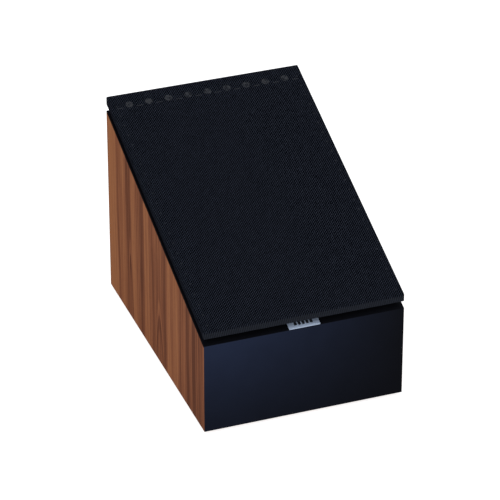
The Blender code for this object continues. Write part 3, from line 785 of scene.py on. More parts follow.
def brushed(tree, point, tone, line, roughness, tarnish):
    """The metal effect placed in a tree, with the spacing of its lines in millimetres."""
    values = {"Line": line, "Roughness": roughness, "Tarnish": tarnish}
    return use(tree, "Brushed metal", Vector=point, Color=rgba(tone), **values)


def make_metal(name, tone, roughness, line, tarnish):
    tree, shader = material(name)
    metal = brushed(tree, local_point(tree), tone, line, roughness, tarnish)
    surface(tree, shader, *metal, 0.004 * MM, Metallic=1.0)


def make_fibre(name, tone, deep, size, depth, place=None, **constants):
    """Fibrous finish, with the size of its fibres and its relief in millimetres."""
    tree, shader = material(name)
    point = local_point(tree, place)
    fibre = use(tree, "Tangled fibres", Vector=point, Color=rgba(tone), Deep=rgba(deep), Size=size)
    surface(tree, shader, *fibre, depth * MM, **constants)


def make_grille_cloth(sizes, colours):
    """Knitted black cloth, with painted highlights where the rear rail's bosses and the frame's inner edges
    lie under it, and painted light and shade on its folded edges.
    """
    tree, shader = material("grille_cloth")
    point = local_point(tree, BAFFLE_PLACE)
    turned = {"Vector": point, "Rotation": (0, 0, -sizes.weave_turn)}
    knit = use(
        tree,
        "Knitted lattice",
        Vector=node(tree, "ShaderNodeMapping", turned).outputs[0],
        Across=sizes.weave_across,
        Along=sizes.weave_along,
        Thread=rgba(colours.cloth_thread),
        Hole=rgba(colours.cloth_hole_shade),
    )
    axes = split(tree, point)
    spacing = sizes.boss_spacing
    reach = spacing * (sizes.boss_count - 1) / 2
    rail_edge = GRILLE_REAR - REAR_RAIL + 0.1 * MM
    side_edge = HALF_WIDTH - SIDE_RAIL - 0.1 * MM
    half_dash = 2.2 * MM
    half_dot_spacing = 5.75 * MM
    # Painted highlights: pale patches over the bosses, dashes along the rear rail's inner edge and dots
    # along the side rails' inner edges, where the frame lies under the cloth.
    nearest = number(tree, "PINGPONG", number(tree, "ADD", axes[0], reach), spacing / 2)
    beyond = number(tree, "MAXIMUM", number(tree, "SUBTRACT", number(tree, "ABSOLUTE", axes[0]), reach), 0.0)
    sideways = number(tree, "MAXIMUM", nearest, beyond)
    lengthways = number(tree, "SUBTRACT", axes[1], GRILLE_REAR - sizes.boss_inset)
    distance = hypotenuse(tree, sideways, lengthways)
    boss = between(tree, distance, sizes.boss_radius * 0.8, sizes.boss_radius * 1.15, 1.0, 0.0)
    blotch = between(tree, speckle(tree, point, 420.0, 2.0), 0.35, 0.65, 0.2, 1.0)
    boss = number(tree, "MULTIPLY", boss, blotch)
    line_across = apart(tree, axes[1], rail_edge)
    rail_dash_highlight = number(tree, "SUBTRACT", spacing / 2, nearest)
    rail_dash_highlight = number(tree, "MAXIMUM", number(tree, "SUBTRACT", rail_dash_highlight, half_dash), line_across)
    rail_dash_highlight = between(tree, rail_dash_highlight, 0.3 * MM, 0.8 * MM, 0.5, 0.0)
    side = apart(tree, number(tree, "ABSOLUTE", axes[0]), side_edge)
    rail_dot_highlight = number(tree, "PINGPONG", axes[1], half_dot_spacing)
    rail_dot_highlight = between(tree, number(tree, "MAXIMUM", rail_dot_highlight, side), 0.4 * MM, 1.0 * MM, 0.45, 0.0)
    # pressed collects the painted highlights of the bosses, dashes and dots; the next line lightens the knit
    # towards pale grey there.
    pressed = number(tree, "MAXIMUM", boss, number(tree, "MAXIMUM", rail_dash_highlight, rail_dot_highlight))
    tone = mixed(tree, number(tree, "MULTIPLY", pressed, 0.62), knit["Color"], (0.045, 0.047, 0.052, 1))
    # Painted light and shade on the cloth's folded edges: part of the knit gives way to a plain dark tone on
    # the side and rear faces and a plain paler tone on the front face.
    edge = between(tree, axes[2], GRILLE_HIGH - 2.2 * MM, GRILLE_HIGH - 1.2 * MM, 0.6, 0.0)
    front = between(tree, axes[1], 6 * MM, 8 * MM, 1.0, 0.0)
    plain = mixed(tree, front, (0.0050, 0.0055, 0.0080, 1), (0.0125, 0.0140, 0.0180, 1))
    tone = mixed(tree, edge, tone, plain)
    surface(tree, shader, tone, knit["Roughness"], knit["Height"], 0.14 * MM, Specular_IOR_Level=0.0)


def make_windings(name, place, wire):
    """Lacquered copper wire of some thickness in millimetres, wound about a place's axis."""
    tree, shader = material(name)
    point = local_point(tree, place)
    axes = split(tree, point)
    turns = number(tree, "SINE", number(tree, "MULTIPLY", axes[2], math.tau / (wire * MM)))
    shade = between(tree, turns, -1.0, 1.0)
    metal = brushed(tree, point, (0.66, 0.27, 0.12), 0.3, 0.32, 0.3)
    tone = mixed(tree, shade, mixed(tree, 0.7, metal["Color"], (0.08, 0.02, 0.01, 1)), metal["Color"])
    surface(tree, shader, tone, metal["Roughness"], shade, 0.12 * MM, Metallic=0.9)


def make_cone_paper(name):
    """Black pressed paper with faint rings and radial fibres."""
    tree, shader = material(name)
    point = local_point(tree, DRIVER_PLACE)
    axes = split(tree, point)
    radius = hypotenuse(tree, axes[0], axes[1])
    around = number(tree, "ARCTAN2", axes[1], axes[0])
    polar = joined(tree, number(tree, "MULTIPLY", around, 0.03), radius)
    tones = {"Color": (0.035, 0.035, 0.038, 1), "Deep": (0.012, 0.012, 0.013, 1)}
    fibre = use(tree, "Tangled fibres", Vector=polar, Size=1.4, **tones)
    rings = number(tree, "SINE", number(tree, "MULTIPLY", radius, math.tau / (4.4 * MM)))
    height = number(tree, "MULTIPLY_ADD", rings, 0.8, fibre["Height"])
    roughness = number(tree, "SUBTRACT", fibre["Roughness"], 0.25)
    surface(tree, shader, fibre["Color"], roughness, height, 0.05 * MM, Coat_Weight=0.15, Coat_Roughness=0.4)


def make_circuit_board(name):
    """Green board with paler tracks under its lacquer."""
    tree, shader = material(name)
    point = local_point(tree)
    cells = node(tree, "ShaderNodeTexVoronoi", {"Vector": point, "Scale": 130.0}, distance="CHEBYCHEV")
    tracks = between(tree, cells.outputs["Distance"], 0.30, 0.34)
    tone = mixed(tree, tracks, (0.010, 0.075, 0.025, 1), (0.022, 0.13, 0.045, 1))
    values = {"Grain": 0.5, "Variation": 0.2, "Roughness": 0.4, "Dust": 0.15}
    body = use(tree, "Moulded surface", Vector=point, Color=tone, **values)
    surface(tree, shader, body["Color"], body["Roughness"], tracks, 0.03 * MM)


def make_badge_metal(colours):
    """Satin badge plate brushed along its length."""
    tree, shader = material("badge_metal")
    point = local_point(tree, BAFFLE_PLACE @ Matrix.Rotation(math.pi / 2, 4, "Z"))
    metal = brushed(tree, point, colours.badge, 0.1, 0.4, 0.05)
    surface(tree, shader, *metal, 0.004 * MM, Metallic=0.15)


def inductor_place(name):
    low, high = corners(name)
    return Matrix.Translation(((low.x + high.x) / 2, (low.y + high.y) / 2, low.z))


class SPEAKER_OT_mix_finishes(bpy.types.Operator):
    """Make every finish of the loudspeaker: vinyls, cloth, plastics, rubbers, metals and fibres"""

    bl_idname = "speaker.mix_finishes"
    bl_label = "Mix Finishes"

    def execute(self, context):
        sizes = context.scene.wedge_sizes
        colours = context.scene.wedge_colours
        make_walnut_effect()
        make_moulded_effect()
        make_metal_effect()
        make_lattice_effect()
        make_fibre_effect()
        upright = (0, 0, 1)
        backward = (0, 1, 0)
        left_edge = HALF_WIDTH + 70 * MM
        make_walnut("walnut_left", (0, -1, 0), upright, BACK, 0.0, 0.0, colours)
        make_walnut("walnut_right", backward, upright, -FRONT, -34 * MM, 3.7, colours)
        make_walnut("walnut_back", (1, 0, 0), upright, left_edge, -52 * MM, 8.1, colours)
        make_walnut("walnut_bottom", (1, 0, 0), backward, left_edge, 60 * MM, 12.9, colours, blackened=False)
        make_black_vinyl("front_vinyl", colours, sheen=True)
        make_black_vinyl("baffle_vinyl", colours, sheen=False)
        make_grille_cloth(sizes, colours)
        make_badge_metal(colours)
        make_moulded("badge_ink", (0.010, 0.011, 0.016), 0.4, 0.3, 0.01)
        make_moulded("grille_plastic", (0.012, 0.012, 0.013), 0.55, 0.5, 0.04)
        make_moulded("peg_rubber", (0.014, 0.014, 0.015), 0.7, 0.6, 0.05)
        make_moulded("foot_rubber", (0.016, 0.016, 0.017), 0.8, 0.7, 0.06, dust=0.3)
        make_moulded("surround_rubber", (0.013, 0.013, 0.014), 0.52, 0.5, 0.02)
        make_moulded("black_plastic", (0.014, 0.014, 0.015), 0.45, 0.6, 0.03)
        make_moulded("tweeter_plastic", (0.016, 0.016, 0.018), 0.38, 0.4, 0.01)
        make_moulded("basket_steel", (0.020, 0.020, 0.022), 0.5, 0.8, 0.05, Metallic=0.3)
        make_moulded("ferrite", (0.035, 0.034, 0.036), 0.65, 1.2, 0.1, 0.5)
        make_moulded("clear_knob", tuple(colours.positive), 0.3, 0.8, 0.01, Coat_Weight=0.4)
        make_moulded("black_knob", (0.015, 0.015, 0.016), 0.32, 0.8, 0.01, Coat_Weight=0.3)
        make_moulded("lead_black", (0.012, 0.012, 0.012), 0.5, 0.8, 0.02)
        make_moulded("lead_red", (0.30, 0.010, 0.010), 0.5, 0.8, 0.02)
        make_moulded("capacitor_film", (0.10, 0.070, 0.015), 0.3, 1.5, 0.03, 0.4, Coat_Weight=0.5)
        make_moulded("white_ceramic", (0.62, 0.60, 0.54), 0.6, 0.7, 0.06, 0.2)
        make_metal("plated_steel", (0.55, 0.56, 0.58), 0.30, 0.15, 0.25)
        make_metal("black_screw", (0.035, 0.035, 0.038), 0.38, 0.15, 0.2)
        make_metal("gold_plate", (0.83, 0.58, 0.22), 0.22, 0.12, 0.15)
        make_fibre("spider_cloth", (0.50, 0.30, 0.09), (0.26, 0.13, 0.03), 0.7, 0.08)
        silk = ((0.026, 0.026, 0.030), (0.008, 0.008, 0.010))
        make_fibre("dome_silk", *silk, 0.25, 0.02, DRIVER_PLACE, Sheen_Weight=0.15)
        make_fibre("wadding", (0.80, 0.80, 0.76), (0.45, 0.45, 0.42), 2.2, 0.8, Sheen_Weight=0.3)
        make_windings("voice_coil_copper", DRIVER_PLACE, 0.3)
        make_windings("woofer_inductor_copper", inductor_place("woofer_inductor"), 0.9)
        make_windings("tweeter_inductor_copper", inductor_place("tweeter_inductor"), 0.7)
        make_cone_paper("cone_paper")
        make_circuit_board("circuit_board")
        return {"FINISHED"}


# ---------------------------------------------------------------- repeated details


def geometry_tree(name, inputs):
    """New geometry node tree with its (name, kind, default) inputs: the tree, its inputs and its output."""
    tree = bpy.data.node_groups.new(name, "GeometryNodeTree")
    tree.interface.new_socket("Geometry", in_out="INPUT", socket_type="NodeSocketGeometry")
    for label, kind, value in inputs:
        socket = tree.interface.new_socket(label, in_out="INPUT", socket_type=f"NodeSocket{kind}")
        if value is not None:
            socket.default_value = value
    tree.interface.new_socket("Geometry", in_out="OUTPUT", socket_type="NodeSocketGeometry")
    source = tree.nodes.new("NodeGroupInput")
    sink = tree.nodes.new("NodeGroupOutput")
    return tree, source.outputs, sink.inputs[0]


def close_tree(tree, points, item, finish_socket, sink, **inputs):
    """Ends a tree in an item's copies on its points, as real geometry with its material."""
    inputs |= {"Points": points.outputs[0], "Instance": item}
    copies = node(tree, "GeometryNodeInstanceOnPoints", inputs)
    real = node(tree, "GeometryNodeRealizeInstances", {0: copies.outputs[0]})
    dressed = node(tree, "GeometryNodeSetMaterial", {"Geometry": real.outputs[0], "Material": finish_socket})
    tree.links.new(dressed.outputs[0], sink)


def make_row_tree():
    """Round studs in a row, each as a stretched short cylinder."""
    inputs = (
        ("Count", "Int", 9),
        ("Step", "Vector", (0.01, 0, 0)),
        ("Start", "Vector", (0, 0, 0)),
        ("Radius", "Float", 0.003),
        ("Height", "Float", 0.001),
        ("Stretch", "Vector", (1, 1, 1)),
        ("Material", "Material", None),
    )
    tree, given, sink = geometry_tree("Row of studs", inputs)
    inputs = {"Count": given["Count"], "Start Location": given["Start"], "Offset": given["Step"]}
    line = node(tree, "GeometryNodeMeshLine", inputs)
    inputs = {"Vertices": 24, "Radius": given["Radius"], "Depth": given["Height"]}
    stud = node(tree, "GeometryNodeMeshCylinder", inputs)
    close_tree(tree, line, stud.outputs["Mesh"], given["Material"], sink, Scale=given["Stretch"])
    return tree


def make_bars_tree():
    """Upright bars in a row, whose heights rise and fall along it."""
    inputs = (
        ("Count", "Int", 7),
        ("Spacing", "Float", 0.0026),
        ("Width", "Float", 0.0013),
        ("Shortest", "Float", 0.003),
        ("Rise", "Float", 0.003),
        ("Thickness", "Float", 0.0002),
        ("Material", "Material", None),
    )
    tree, given, sink = geometry_tree("Level bars", inputs)
    step = joined(tree, given["Spacing"])
    line = node(tree, "GeometryNodeMeshLine", {"Count": given["Count"], "Offset": step})
    index = tree.nodes.new("GeometryNodeInputIndex").outputs[0]
    wave = number(tree, "ABSOLUTE", number(tree, "SINE", number(tree, "MULTIPLY_ADD", index, 1.1, 0.6)))
    height = number(tree, "MULTIPLY_ADD", wave, given["Rise"], given["Shortest"])
    size = joined(tree, given["Width"], height, given["Thickness"])
    lifted = joined(tree, y=number(tree, "MULTIPLY", height, 0.5))
    placed = node(tree, "GeometryNodeSetPosition", {"Geometry": line.outputs[0], "Offset": lifted})
    bar = node(tree, "GeometryNodeMeshCube", {"Size": (1, 1, 1)})
    close_tree(tree, placed, bar.outputs["Mesh"], given["Material"], sink, Scale=size)
    return tree


def make_ring_tree():
    """Copies of an object evenly round a circle, each turned by its own fixed amount."""
    inputs = (
        ("Item", "Object", None),
        ("Count", "Int", 4),
        ("Circle", "Float", 0.05),
        ("Start", "Float", 0.785),
        ("Seed", "Int", 5),
        ("Material", "Material", None),
    )
    tree, given, sink = geometry_tree("Ring of screws", inputs)
    line = node(tree, "GeometryNodeMeshLine", {"Count": given["Count"]})
    index = tree.nodes.new("GeometryNodeInputIndex").outputs[0]
    share = number(tree, "DIVIDE", number(tree, "MULTIPLY", index, math.tau), given["Count"])
    angle = number(tree, "ADD", share, given["Start"])
    across = number(tree, "MULTIPLY", number(tree, "COSINE", angle), given["Circle"])
    along = number(tree, "MULTIPLY", number(tree, "SINE", angle), given["Circle"])
    spot = joined(tree, across, along)
    placed = node(tree, "GeometryNodeSetPosition", {"Geometry": line.outputs[0], "Position": spot})
    inputs = {"Min": (0, 0, 0), "Max": (0, 0, 1.5), "Seed": given["Seed"]}
    turn = node(tree, "FunctionNodeRandomValue", inputs, data_type="FLOAT_VECTOR").outputs[0]
    screw = node(tree, "GeometryNodeObjectInfo", {"Object": given["Item"]})
    close_tree(tree, placed, screw.outputs["Geometry"], given["Material"], sink, Rotation=turn)
    return tree


def grown(name, tree, values, place):
    """Plain object made by a geometry node tree from its named values, moved to its place."""
    holder = bpy.data.objects.new(name, bpy.data.meshes.new(name))
    bpy.context.scene.collection.objects.link(holder)
    modifier = holder.modifiers.new("Details", "NODES")
    modifier.node_group = tree
    for item in tree.interface.items_tree:
        if item.item_type == "SOCKET" and item.in_out == "INPUT" and item.name in values:
            modifier[item.identifier] = values[item.name]
    applied(holder)
    holder.data.transform(place)
    return holder


# ---------------------------------------------------------------- cabinet

AROUND_SIDE = ("front_panel", "baffle", "back_panel", "bottom_panel")
AROUND_END = ("left_side_panel", "baffle", "right_side_panel", "bottom_panel")
AROUND_FLAT = ("left_side_panel", "front_panel", "right_side_panel", "back_panel")
SHELL = {
    "left_side_panel": (Vector((-1, 0, 0)), HALF_WIDTH, WALL, AROUND_SIDE),
    "right_side_panel": (Vector((1, 0, 0)), HALF_WIDTH, WALL, AROUND_SIDE),
    "front_panel": (Vector((0, -1, 0)), -FRONT, WALL, AROUND_END),
    "back_panel": (Vector((0, 1, 0)), BACK, WALL, AROUND_END),
    "bottom_panel": (Vector((0, 0, -1)), -UNDERSIDE, WALL, AROUND_FLAT),
    "baffle": (OUT, BAFFLE_LEVEL, BAFFLE_WALL, AROUND_FLAT),
}


def meeting_point(planes):
    """Point where three (normal, level) planes meet."""
    normals = Matrix([normal for normal, _ in planes])
    return normals.inverted() @ Vector([level for _, level in planes])


def cabinet_hull(radius):
    """The cabinet's whole outside as one rounded wedge."""
    shape = bmesh.new()
    planes = {name: (normal, level) for name, (normal, level, _, _) in SHELL.items()}
    spots = {}
    for side in ("left_side_panel", "right_side_panel"):
        for pair in zip(AROUND_SIDE, AROUND_SIDE[1:] + AROUND_SIDE[:1]):
            names = frozenset((side, *pair))
            spots[names] = shape.verts.new(meeting_point([planes[name] for name in names]))
    for name, (_, _, _, around) in SHELL.items():
        pairs = zip(around, around[1:] + around[:1])
        shape.faces.new([spots[frozenset((name, *pair))] for pair in pairs])
    bmesh.ops.recalc_face_normals(shape, faces=shape.faces)
    return soften(shape, radius, segments=3)


def sliced(shape, point, normal):
    """Keeps what lies behind a plane, and closes the cut."""
    geometry = shape.verts[:] + shape.edges[:] + shape.faces[:]
    cut = bmesh.ops.bisect_plane(
        shape, geom=geometry, plane_co=point, plane_no=normal, clear_outer=True, dist=1e-7
    )
    rim = [item for item in cut["geom_cut"] if isinstance(item, bmesh.types.BMEdge)]
    bmesh.ops.edgenet_fill(shape, edges=rim)
    return shape


def panel_shape(name, sizes):
    """One wall of the cabinet, mitred to its four neighbours, with the cabinet's rounded edges."""
    normal, level, thickness, around = SHELL[name]
    shape = cabinet_hull(sizes.edge_radius)
    sliced(shape, normal * (level - thickness), -normal)
    for neighbour in around:
        other_normal, other_level, other_thickness, _ = SHELL[neighbour]
        across = normal / thickness - other_normal / other_thickness
        height = level / thickness - other_level / other_thickness
        facing = across.normalized()
        spot = facing * (height / across.length + sizes.seam / 2)
        sliced(shape, spot, -facing)
    return shape


def shifted(place, x, y):
    return place @ Matrix.Translation((x, y, 0))


def screw_places(names, place):
    """Axes of some screws in a place's own coordinates."""
    back = place.inverted()
    return [(back @ middle(name)).xy for name in names]


def bores(names, place, low, high, radius=SCREW_BORE, start=None):
    """Cutters for round holes on the axes of some screws or pegs, set out from a start or the place."""
    start = place if start is None else start
    return [(rod(radius, low, high), shifted(start, x, y)) for x, y in screw_places(names, place)]


class SPEAKER_OT_build_cabinet(bpy.types.Operator):
    """Build the cabinet's six mitred panels, with the baffle's and the back's cut-outs"""

    bl_idname = "speaker.build_cabinet"
    bl_label = "Build Cabinet"

    def execute(self, context):
        sizes = context.scene.wedge_sizes
        plain = (
            ("left_side", "left_side_panel", "walnut_left", "walnut_vinyl"),
            ("right_side", "right_side_panel", "walnut_right", "walnut_vinyl"),
            ("underside", "bottom_panel", "walnut_bottom", "walnut_vinyl"),
            ("front_face", "front_panel", "front_vinyl", "black_vinyl"),
        )
        for name, stands_for, look, slot in plain:
            finish(name, panel_shape(stands_for, sizes), look, "cabinet", [stands_for])
        self.build_baffle(sizes)
        self.build_back(sizes)
        return {"FINISHED"}

    def build_baffle(self, sizes):
        """Slanted panel with the driver's rebate and cut-out, and holes for pegs and screws."""
        driver = rounded([(0, 5), (61.4, 5), (61.4, -4.3), (52.3, -4.3), (52.3, -20), (0, -20)], 0.0)
        cutters = [(spun(driver, FINE), DRIVER_PLACE)]
        cutters += bores(DRIVER_SCREWS, DRIVER_PLACE, -13.5, 5)
        cutters += bores([f"peg_socket_{peg}" for peg in PEGS], BAFFLE_PLACE, -10.3, 5, 5.45)
        shape = carve(panel_shape("baffle", sizes), cutters)
        finish("slanted_baffle", shape, "baffle_vinyl", "cabinet", ["baffle"])

    def build_back(self, sizes):
        """Back with the terminal cup's rebate and hole, and the hanger plate's pocket."""
        cup = [(0, 5), (37.2, 5), (37.2, -4.8), (30.2, -4.8), (30.2, -20), (0, -20)]
        low, high = corners("hanger_plate")
        hanger = BACK_PLACE.inverted() @ ((low + high) / 2)
        hanger = shifted(BACK_PLACE, hanger.x, hanger.y)
        gap = 0.15 * MM
        half_width = (high.x - low.x) / 2 + gap
        half_height = (high.z - low.z) / 2 + gap
        pocket = prism(rounded_rectangle(half_width, half_height, 3.1 * MM), -3.75 * MM, 5 * MM)
        cutters = [(spun(cup, FINE), BACK_PLACE), (pocket, hanger)]
        cutters.append((block((-6 * MM, -11 * MM, -9.5 * MM), (6 * MM, 11 * MM, 0)), hanger))
        cutters += bores(CUP_SCREWS + HANGER_SCREWS, BACK_PLACE, -11, 5)
        shape = carve(panel_shape("back_panel", sizes), cutters)
        finish("back_face", shape, "walnut_back", "cabinet", ["back_panel"])


class SPEAKER_OT_build_feet(bpy.types.Operator):
    """Build the four rubber feet, each with a dished underside"""

    bl_idname = "speaker.build_feet"
    bl_label = "Build Feet"

    def execute(self, context):
        for row in ("front", "rear"):
            for side in ("left", "right"):
                name = f"rubber_foot_{row}_{side}"
                low, high = corners(name)
                rim = (high.x - low.x) / 2 / MM
                top = (high.z - low.z) / MM + 0.28
                outline = [(0, 0.7), (rim - 2.6, 0.6), (rim - 2.1, 0), (rim - 0.7, 0)]
                outline += [(rim, 0.9), (rim, top), (0, top)]
                spot = Matrix.Translation(((low.x + high.x) / 2, (low.y + high.y) / 2, low.z))
                shape = spun(rounded(outline, 0.3), 64)
                finish(f"foot_{row}_{side}", shape, "foot_rubber", "cabinet", [name], spot)
        return {"FINISHED"}


# ---------------------------------------------------------------- grille

def window_outline(height):
    """Opening of the grille frame, which leaves a block in each corner for its peg."""
    lean = height * LEAN
    side = HALF_WIDTH - SIDE_RAIL
    block_side = HALF_WIDTH - PEG_BLOCK
    front = lean + FRONT_RAIL
    front_block = lean + PEG_BLOCK
    rear = lean + SLOPE_LENGTH - REAR_RAIL
    rear_block = lean + SLOPE_LENGTH - REAR_PEG_BLOCK
    right = [(block_side, front), (block_side, front_block), (side, front_block)]
    right += [(side, rear_block), (block_side, rear_block), (block_side, rear)]
    return right + [(-x, y) for x, y in reversed(right)]


def chamfered(outline, reach):
    """Outline with each corner turned by a short arc."""
    soft = []
    for index, corner in enumerate(outline):
        here = Vector(corner)
        before = (Vector(outline[index - 1]) - here).normalized() * reach
        after = (Vector(outline[(index + 1) % len(outline)]) - here).normalized() * reach
        for step in range(5):
            share = step / 4
            soft.append(here + (1 - share) ** 2 * before + share**2 * after)
    return [tuple(point) for point in soft]


def cloth_dip(x, y, sizes):
    """How far the cloth's top lies below its highest level, in metres."""
    front = GRILLE_HIGH * LEAN + FRONT_RAIL
    inside = min(HALF_WIDTH - SIDE_RAIL - abs(x), y - front, GRILLE_REAR - REAR_RAIL - y)
    sag = 0.0
    if inside > 0:
        sag = sizes.cloth_sag * (1 - math.exp(-inside / SAG_REACH))
    spacing = sizes.boss_spacing
    reach = spacing * (sizes.boss_count - 1) / 2
    nearest = max(-reach, min(reach, round((x + reach) / spacing) * spacing - reach))
    away = math.hypot(x - nearest, y - (GRILLE_REAR - sizes.boss_inset)) / sizes.boss_radius
    return sag + BOSS_RELIEF * (1 - max(0.0, 1 - max(0.0, away - 0.6) ** 2 * 3))


class SPEAKER_OT_build_grille(bpy.types.Operator):
    """Build the lift-off grille: its frame, the cloth stretched over it, and its four pegs"""

    bl_idname = "speaker.build_grille"
    bl_label = "Build Grille"

    def execute(self, context):
        sizes = context.scene.wedge_sizes
        self.build_frame(sizes)
        self.build_cloth(sizes)
        self.build_pegs()
        return {"FINISHED"}

    def build_frame(self, sizes):
        inset = sizes.cloth_thickness + 0.05 * MM
        top = GRILLE_HIGH - BOSS_RELIEF - sizes.cloth_thickness - sizes.cloth_sag
        shape = slanted_slab(GRILLE_LOW + inset, top, HALF_WIDTH - inset, inset)
        opening = prism(chamfered(window_outline(GRILLE_HIGH), 2 * MM), 0, 20 * MM)
        shape = carve(shape, [(opening, None)])
        soften(shape, 0.5 * MM, 50)
        stands_for = ["grille_frame"]
        finish("frame_rails", shape, "grille_plastic", "grille", stands_for, BAFFLE_PLACE)
        self.build_rail_details(sizes, top)

    def build_rail_details(self, sizes, top):
        """Bosses and ribs on the rails, under the cloth."""
        tree = make_row_tree()
        spacing = sizes.boss_spacing
        rows = (
            ("rail_bosses", sizes.boss_count, sizes.boss_inset, sizes.boss_radius, 1.0, 0.2),
            ("rail_ribs", sizes.boss_count - 1, RIB_INSET, 3.5 * MM, 0.15, 0.1),
        )
        for name, count, inset, radius, squeeze, height in rows:
            start = -spacing * (count - 1) / 2
            values = {
                "Count": count,
                "Step": (spacing, 0, 0),
                "Start": (start, GRILLE_REAR - inset, top + height * MM / 2 - 0.05 * MM),
                "Radius": radius,
                "Height": height * MM,
                "Stretch": (1, squeeze, 1),
                "Material": LOOKS["grille_plastic"],
            }
            row = grown(name, tree, values, BAFFLE_PLACE)
            settle_in(row, "grille_plastic", "grille")

    def build_cloth(self, sizes):
        """Knitted cloth over the top and round the sides, glued under the rails."""
        shape = slanted_slab(GRILLE_LOW, GRILLE_HIGH, HALF_WIDTH)
        bmesh.ops.recalc_face_normals(shape, faces=shape.faces)
        under = min(shape.faces, key=lambda face: face.calc_center_median().z)
        bmesh.ops.inset_region(shape, faces=[under], thickness=sizes.cloth_wrap, use_even_offset=True)
        bmesh.ops.delete(shape, geom=[under], context="FACES")
        soften(shape, CLOTH_EDGE, 30, 4, keep=self.above_wrap)
        inner = HALF_WIDTH - CLOTH_EDGE - 0.2 * MM
        cuts = [((x, 0, 0), (1, 0, 0)) for x in self.spread(-inner, inner, 118)]
        rows = self.spread(10 * MM, GRILLE_REAR - 22 * MM, 44)
        rows += self.spread(GRILLE_REAR - 21 * MM, GRILLE_REAR - 2 * MM, 20)
        cuts += [((0, y, 0), (0, 1, 0)) for y in rows]
        for spot, facing in cuts:
            geometry = shape.verts[:] + shape.edges[:] + shape.faces[:]
            bmesh.ops.bisect_plane(shape, geom=geometry, plane_co=spot, plane_no=facing, dist=1e-7)
        for vert in shape.verts:
            if vert.co.z > GRILLE_HIGH - 0.01 * MM:
                vert.co.z -= cloth_dip(vert.co.x, vert.co.y, sizes)
        bmesh.ops.recalc_face_normals(shape, faces=shape.faces)
        mesh = bpy.data.meshes.new("stretched_cloth")
        shape.to_mesh(mesh)
        shape.free()
        mesh.transform(BAFFLE_PLACE)
        cloth = bpy.data.objects.new("stretched_cloth", mesh)
        bpy.context.scene.collection.objects.link(cloth)
        wall = cloth.modifiers.new("Thickness", "SOLIDIFY")
        wall.thickness = sizes.cloth_thickness
        wall.offset = -1
        applied(cloth)
        settle_in(cloth, "grille_cloth", "grille", ["grille_cloth"], 50)

    def above_wrap(self, edge):
        return max(vert.co.z for vert in edge.verts) > GRILLE_LOW + 1e-6

    def spread(self, low, high, count):
        return [low + (high - low) * index / (count - 1) for index in range(count)]

    def build_pegs(self):
        """Pegs that stand the grille off the baffle and hold it in the rubber sockets."""
        outline = [(0, 7.4), (4.5, 7.4), (4.5, 0.32), (2.6, 0.3)]
        outline += [(2.6, -7.6), (2.2, -8.6), (1.6, -9), (0, -9)]
        for peg in PEGS:
            node_name = f"grille_peg_{peg}"
            [(x, y)] = screw_places([node_name], BAFFLE_PLACE)
            shape = spun(rounded(outline, 0.35), 48)
            spot = shifted(BAFFLE_PLACE, x, y)
            finish(f"peg_{peg}", shape, "grille_plastic", "grille", [node_name], spot)


class SPEAKER_OT_build_peg_sockets(bpy.types.Operator):
    """Build the four rubber sockets that take the grille's pegs"""

    bl_idname = "speaker.build_peg_sockets"
    bl_label = "Build Peg Sockets"

    def execute(self, context):
        outline = [(5.35, 0), (5.35, -10.1), (3.0, -10.1), (3.0, -0.6), (3.5, 0)]
        for peg in PEGS:
            node_name = f"peg_socket_{peg}"
            [(x, y)] = screw_places([node_name], BAFFLE_PLACE)
            shape = spun(rounded(outline, 0.4), 48)
            spot = shifted(BAFFLE_PLACE, x, y)
            finish(f"socket_{peg}", shape, "peg_rubber", "cabinet", [node_name], spot)
        return {"FINISHED"}


class SPEAKER_OT_build_badge(bpy.types.Operator):
    """Build the brushed badge plate with its row of level bars"""

    bl_idname = "speaker.build_badge"
    bl_label = "Build Badge"

    def execute(self, context):
        sizes = context.scene.wedge_sizes
        low, high = corners("badge_plate")
        spot = BAFFLE_PLACE.inverted() @ ((low + high) / 2)
        half_width = (high.x - low.x) / 2
        half_length = 6.1 * MM
        top = 0.7 * MM
        shape = prism(rounded_rectangle(half_width, half_length, 0.5 * MM, 4), 0.02 * MM, top)
        soften(shape, 0.16 * MM, 60)
        place = shifted(BAFFLE_PLACE, spot.x, spot.y - 0.1 * MM)
        finish("badge", shape, "badge_metal", "cabinet", ["badge_plate"], place)
        spacing = 3.6 * MM
        values = {
            "Count": sizes.badge_bars,
            "Spacing": spacing,
            "Width": 2.3 * MM,
            "Shortest": 3.6 * MM,
            "Rise": 2.6 * MM,
            "Thickness": 0.08 * MM,
            "Material": LOOKS["badge_ink"],
        }
        left = -spacing * (sizes.badge_bars - 1) / 2
        start = Vector((left, -half_length + 3.1 * MM, top + 0.02 * MM))
        bars = grown("badge_bars", make_bars_tree(), values, place @ Matrix.Translation(start))
        settle_in(bars, "badge_ink", "cabinet")
        return {"FINISHED"}


# ---------------------------------------------------------------- driver


def surround_outline():
    """Half-roll surround with its outer flange and inner lip."""
    under = arc((46.6, -1.1), 2.7, 0, 180, 14)
    over = arc((46.6, -1.1), 3.3, 180, 0, 14)
    flange = [(54.2, -0.8), (54.2, -1.4), (49.3, -1.4)]
    return [*flange, *under, (43.9, -1.4), (43.1, -1.4), *over, (49.9, -0.8)]


def cone_outline():
    """Thin flared cone with a straight neck."""
    spans = 24
    front = []
    for index in range(spans + 1):
        share = index / spans
        front.append((43 - 26.1 * share, -0.9 - 13.6 * share**0.85))
    back = [(radius + 0.3, height - 0.85) for radius, height in reversed(front[1:])]
    back[0] = (16.9, front[-1][1] - 0.9)
    return front + back + [(43, -1.7)]


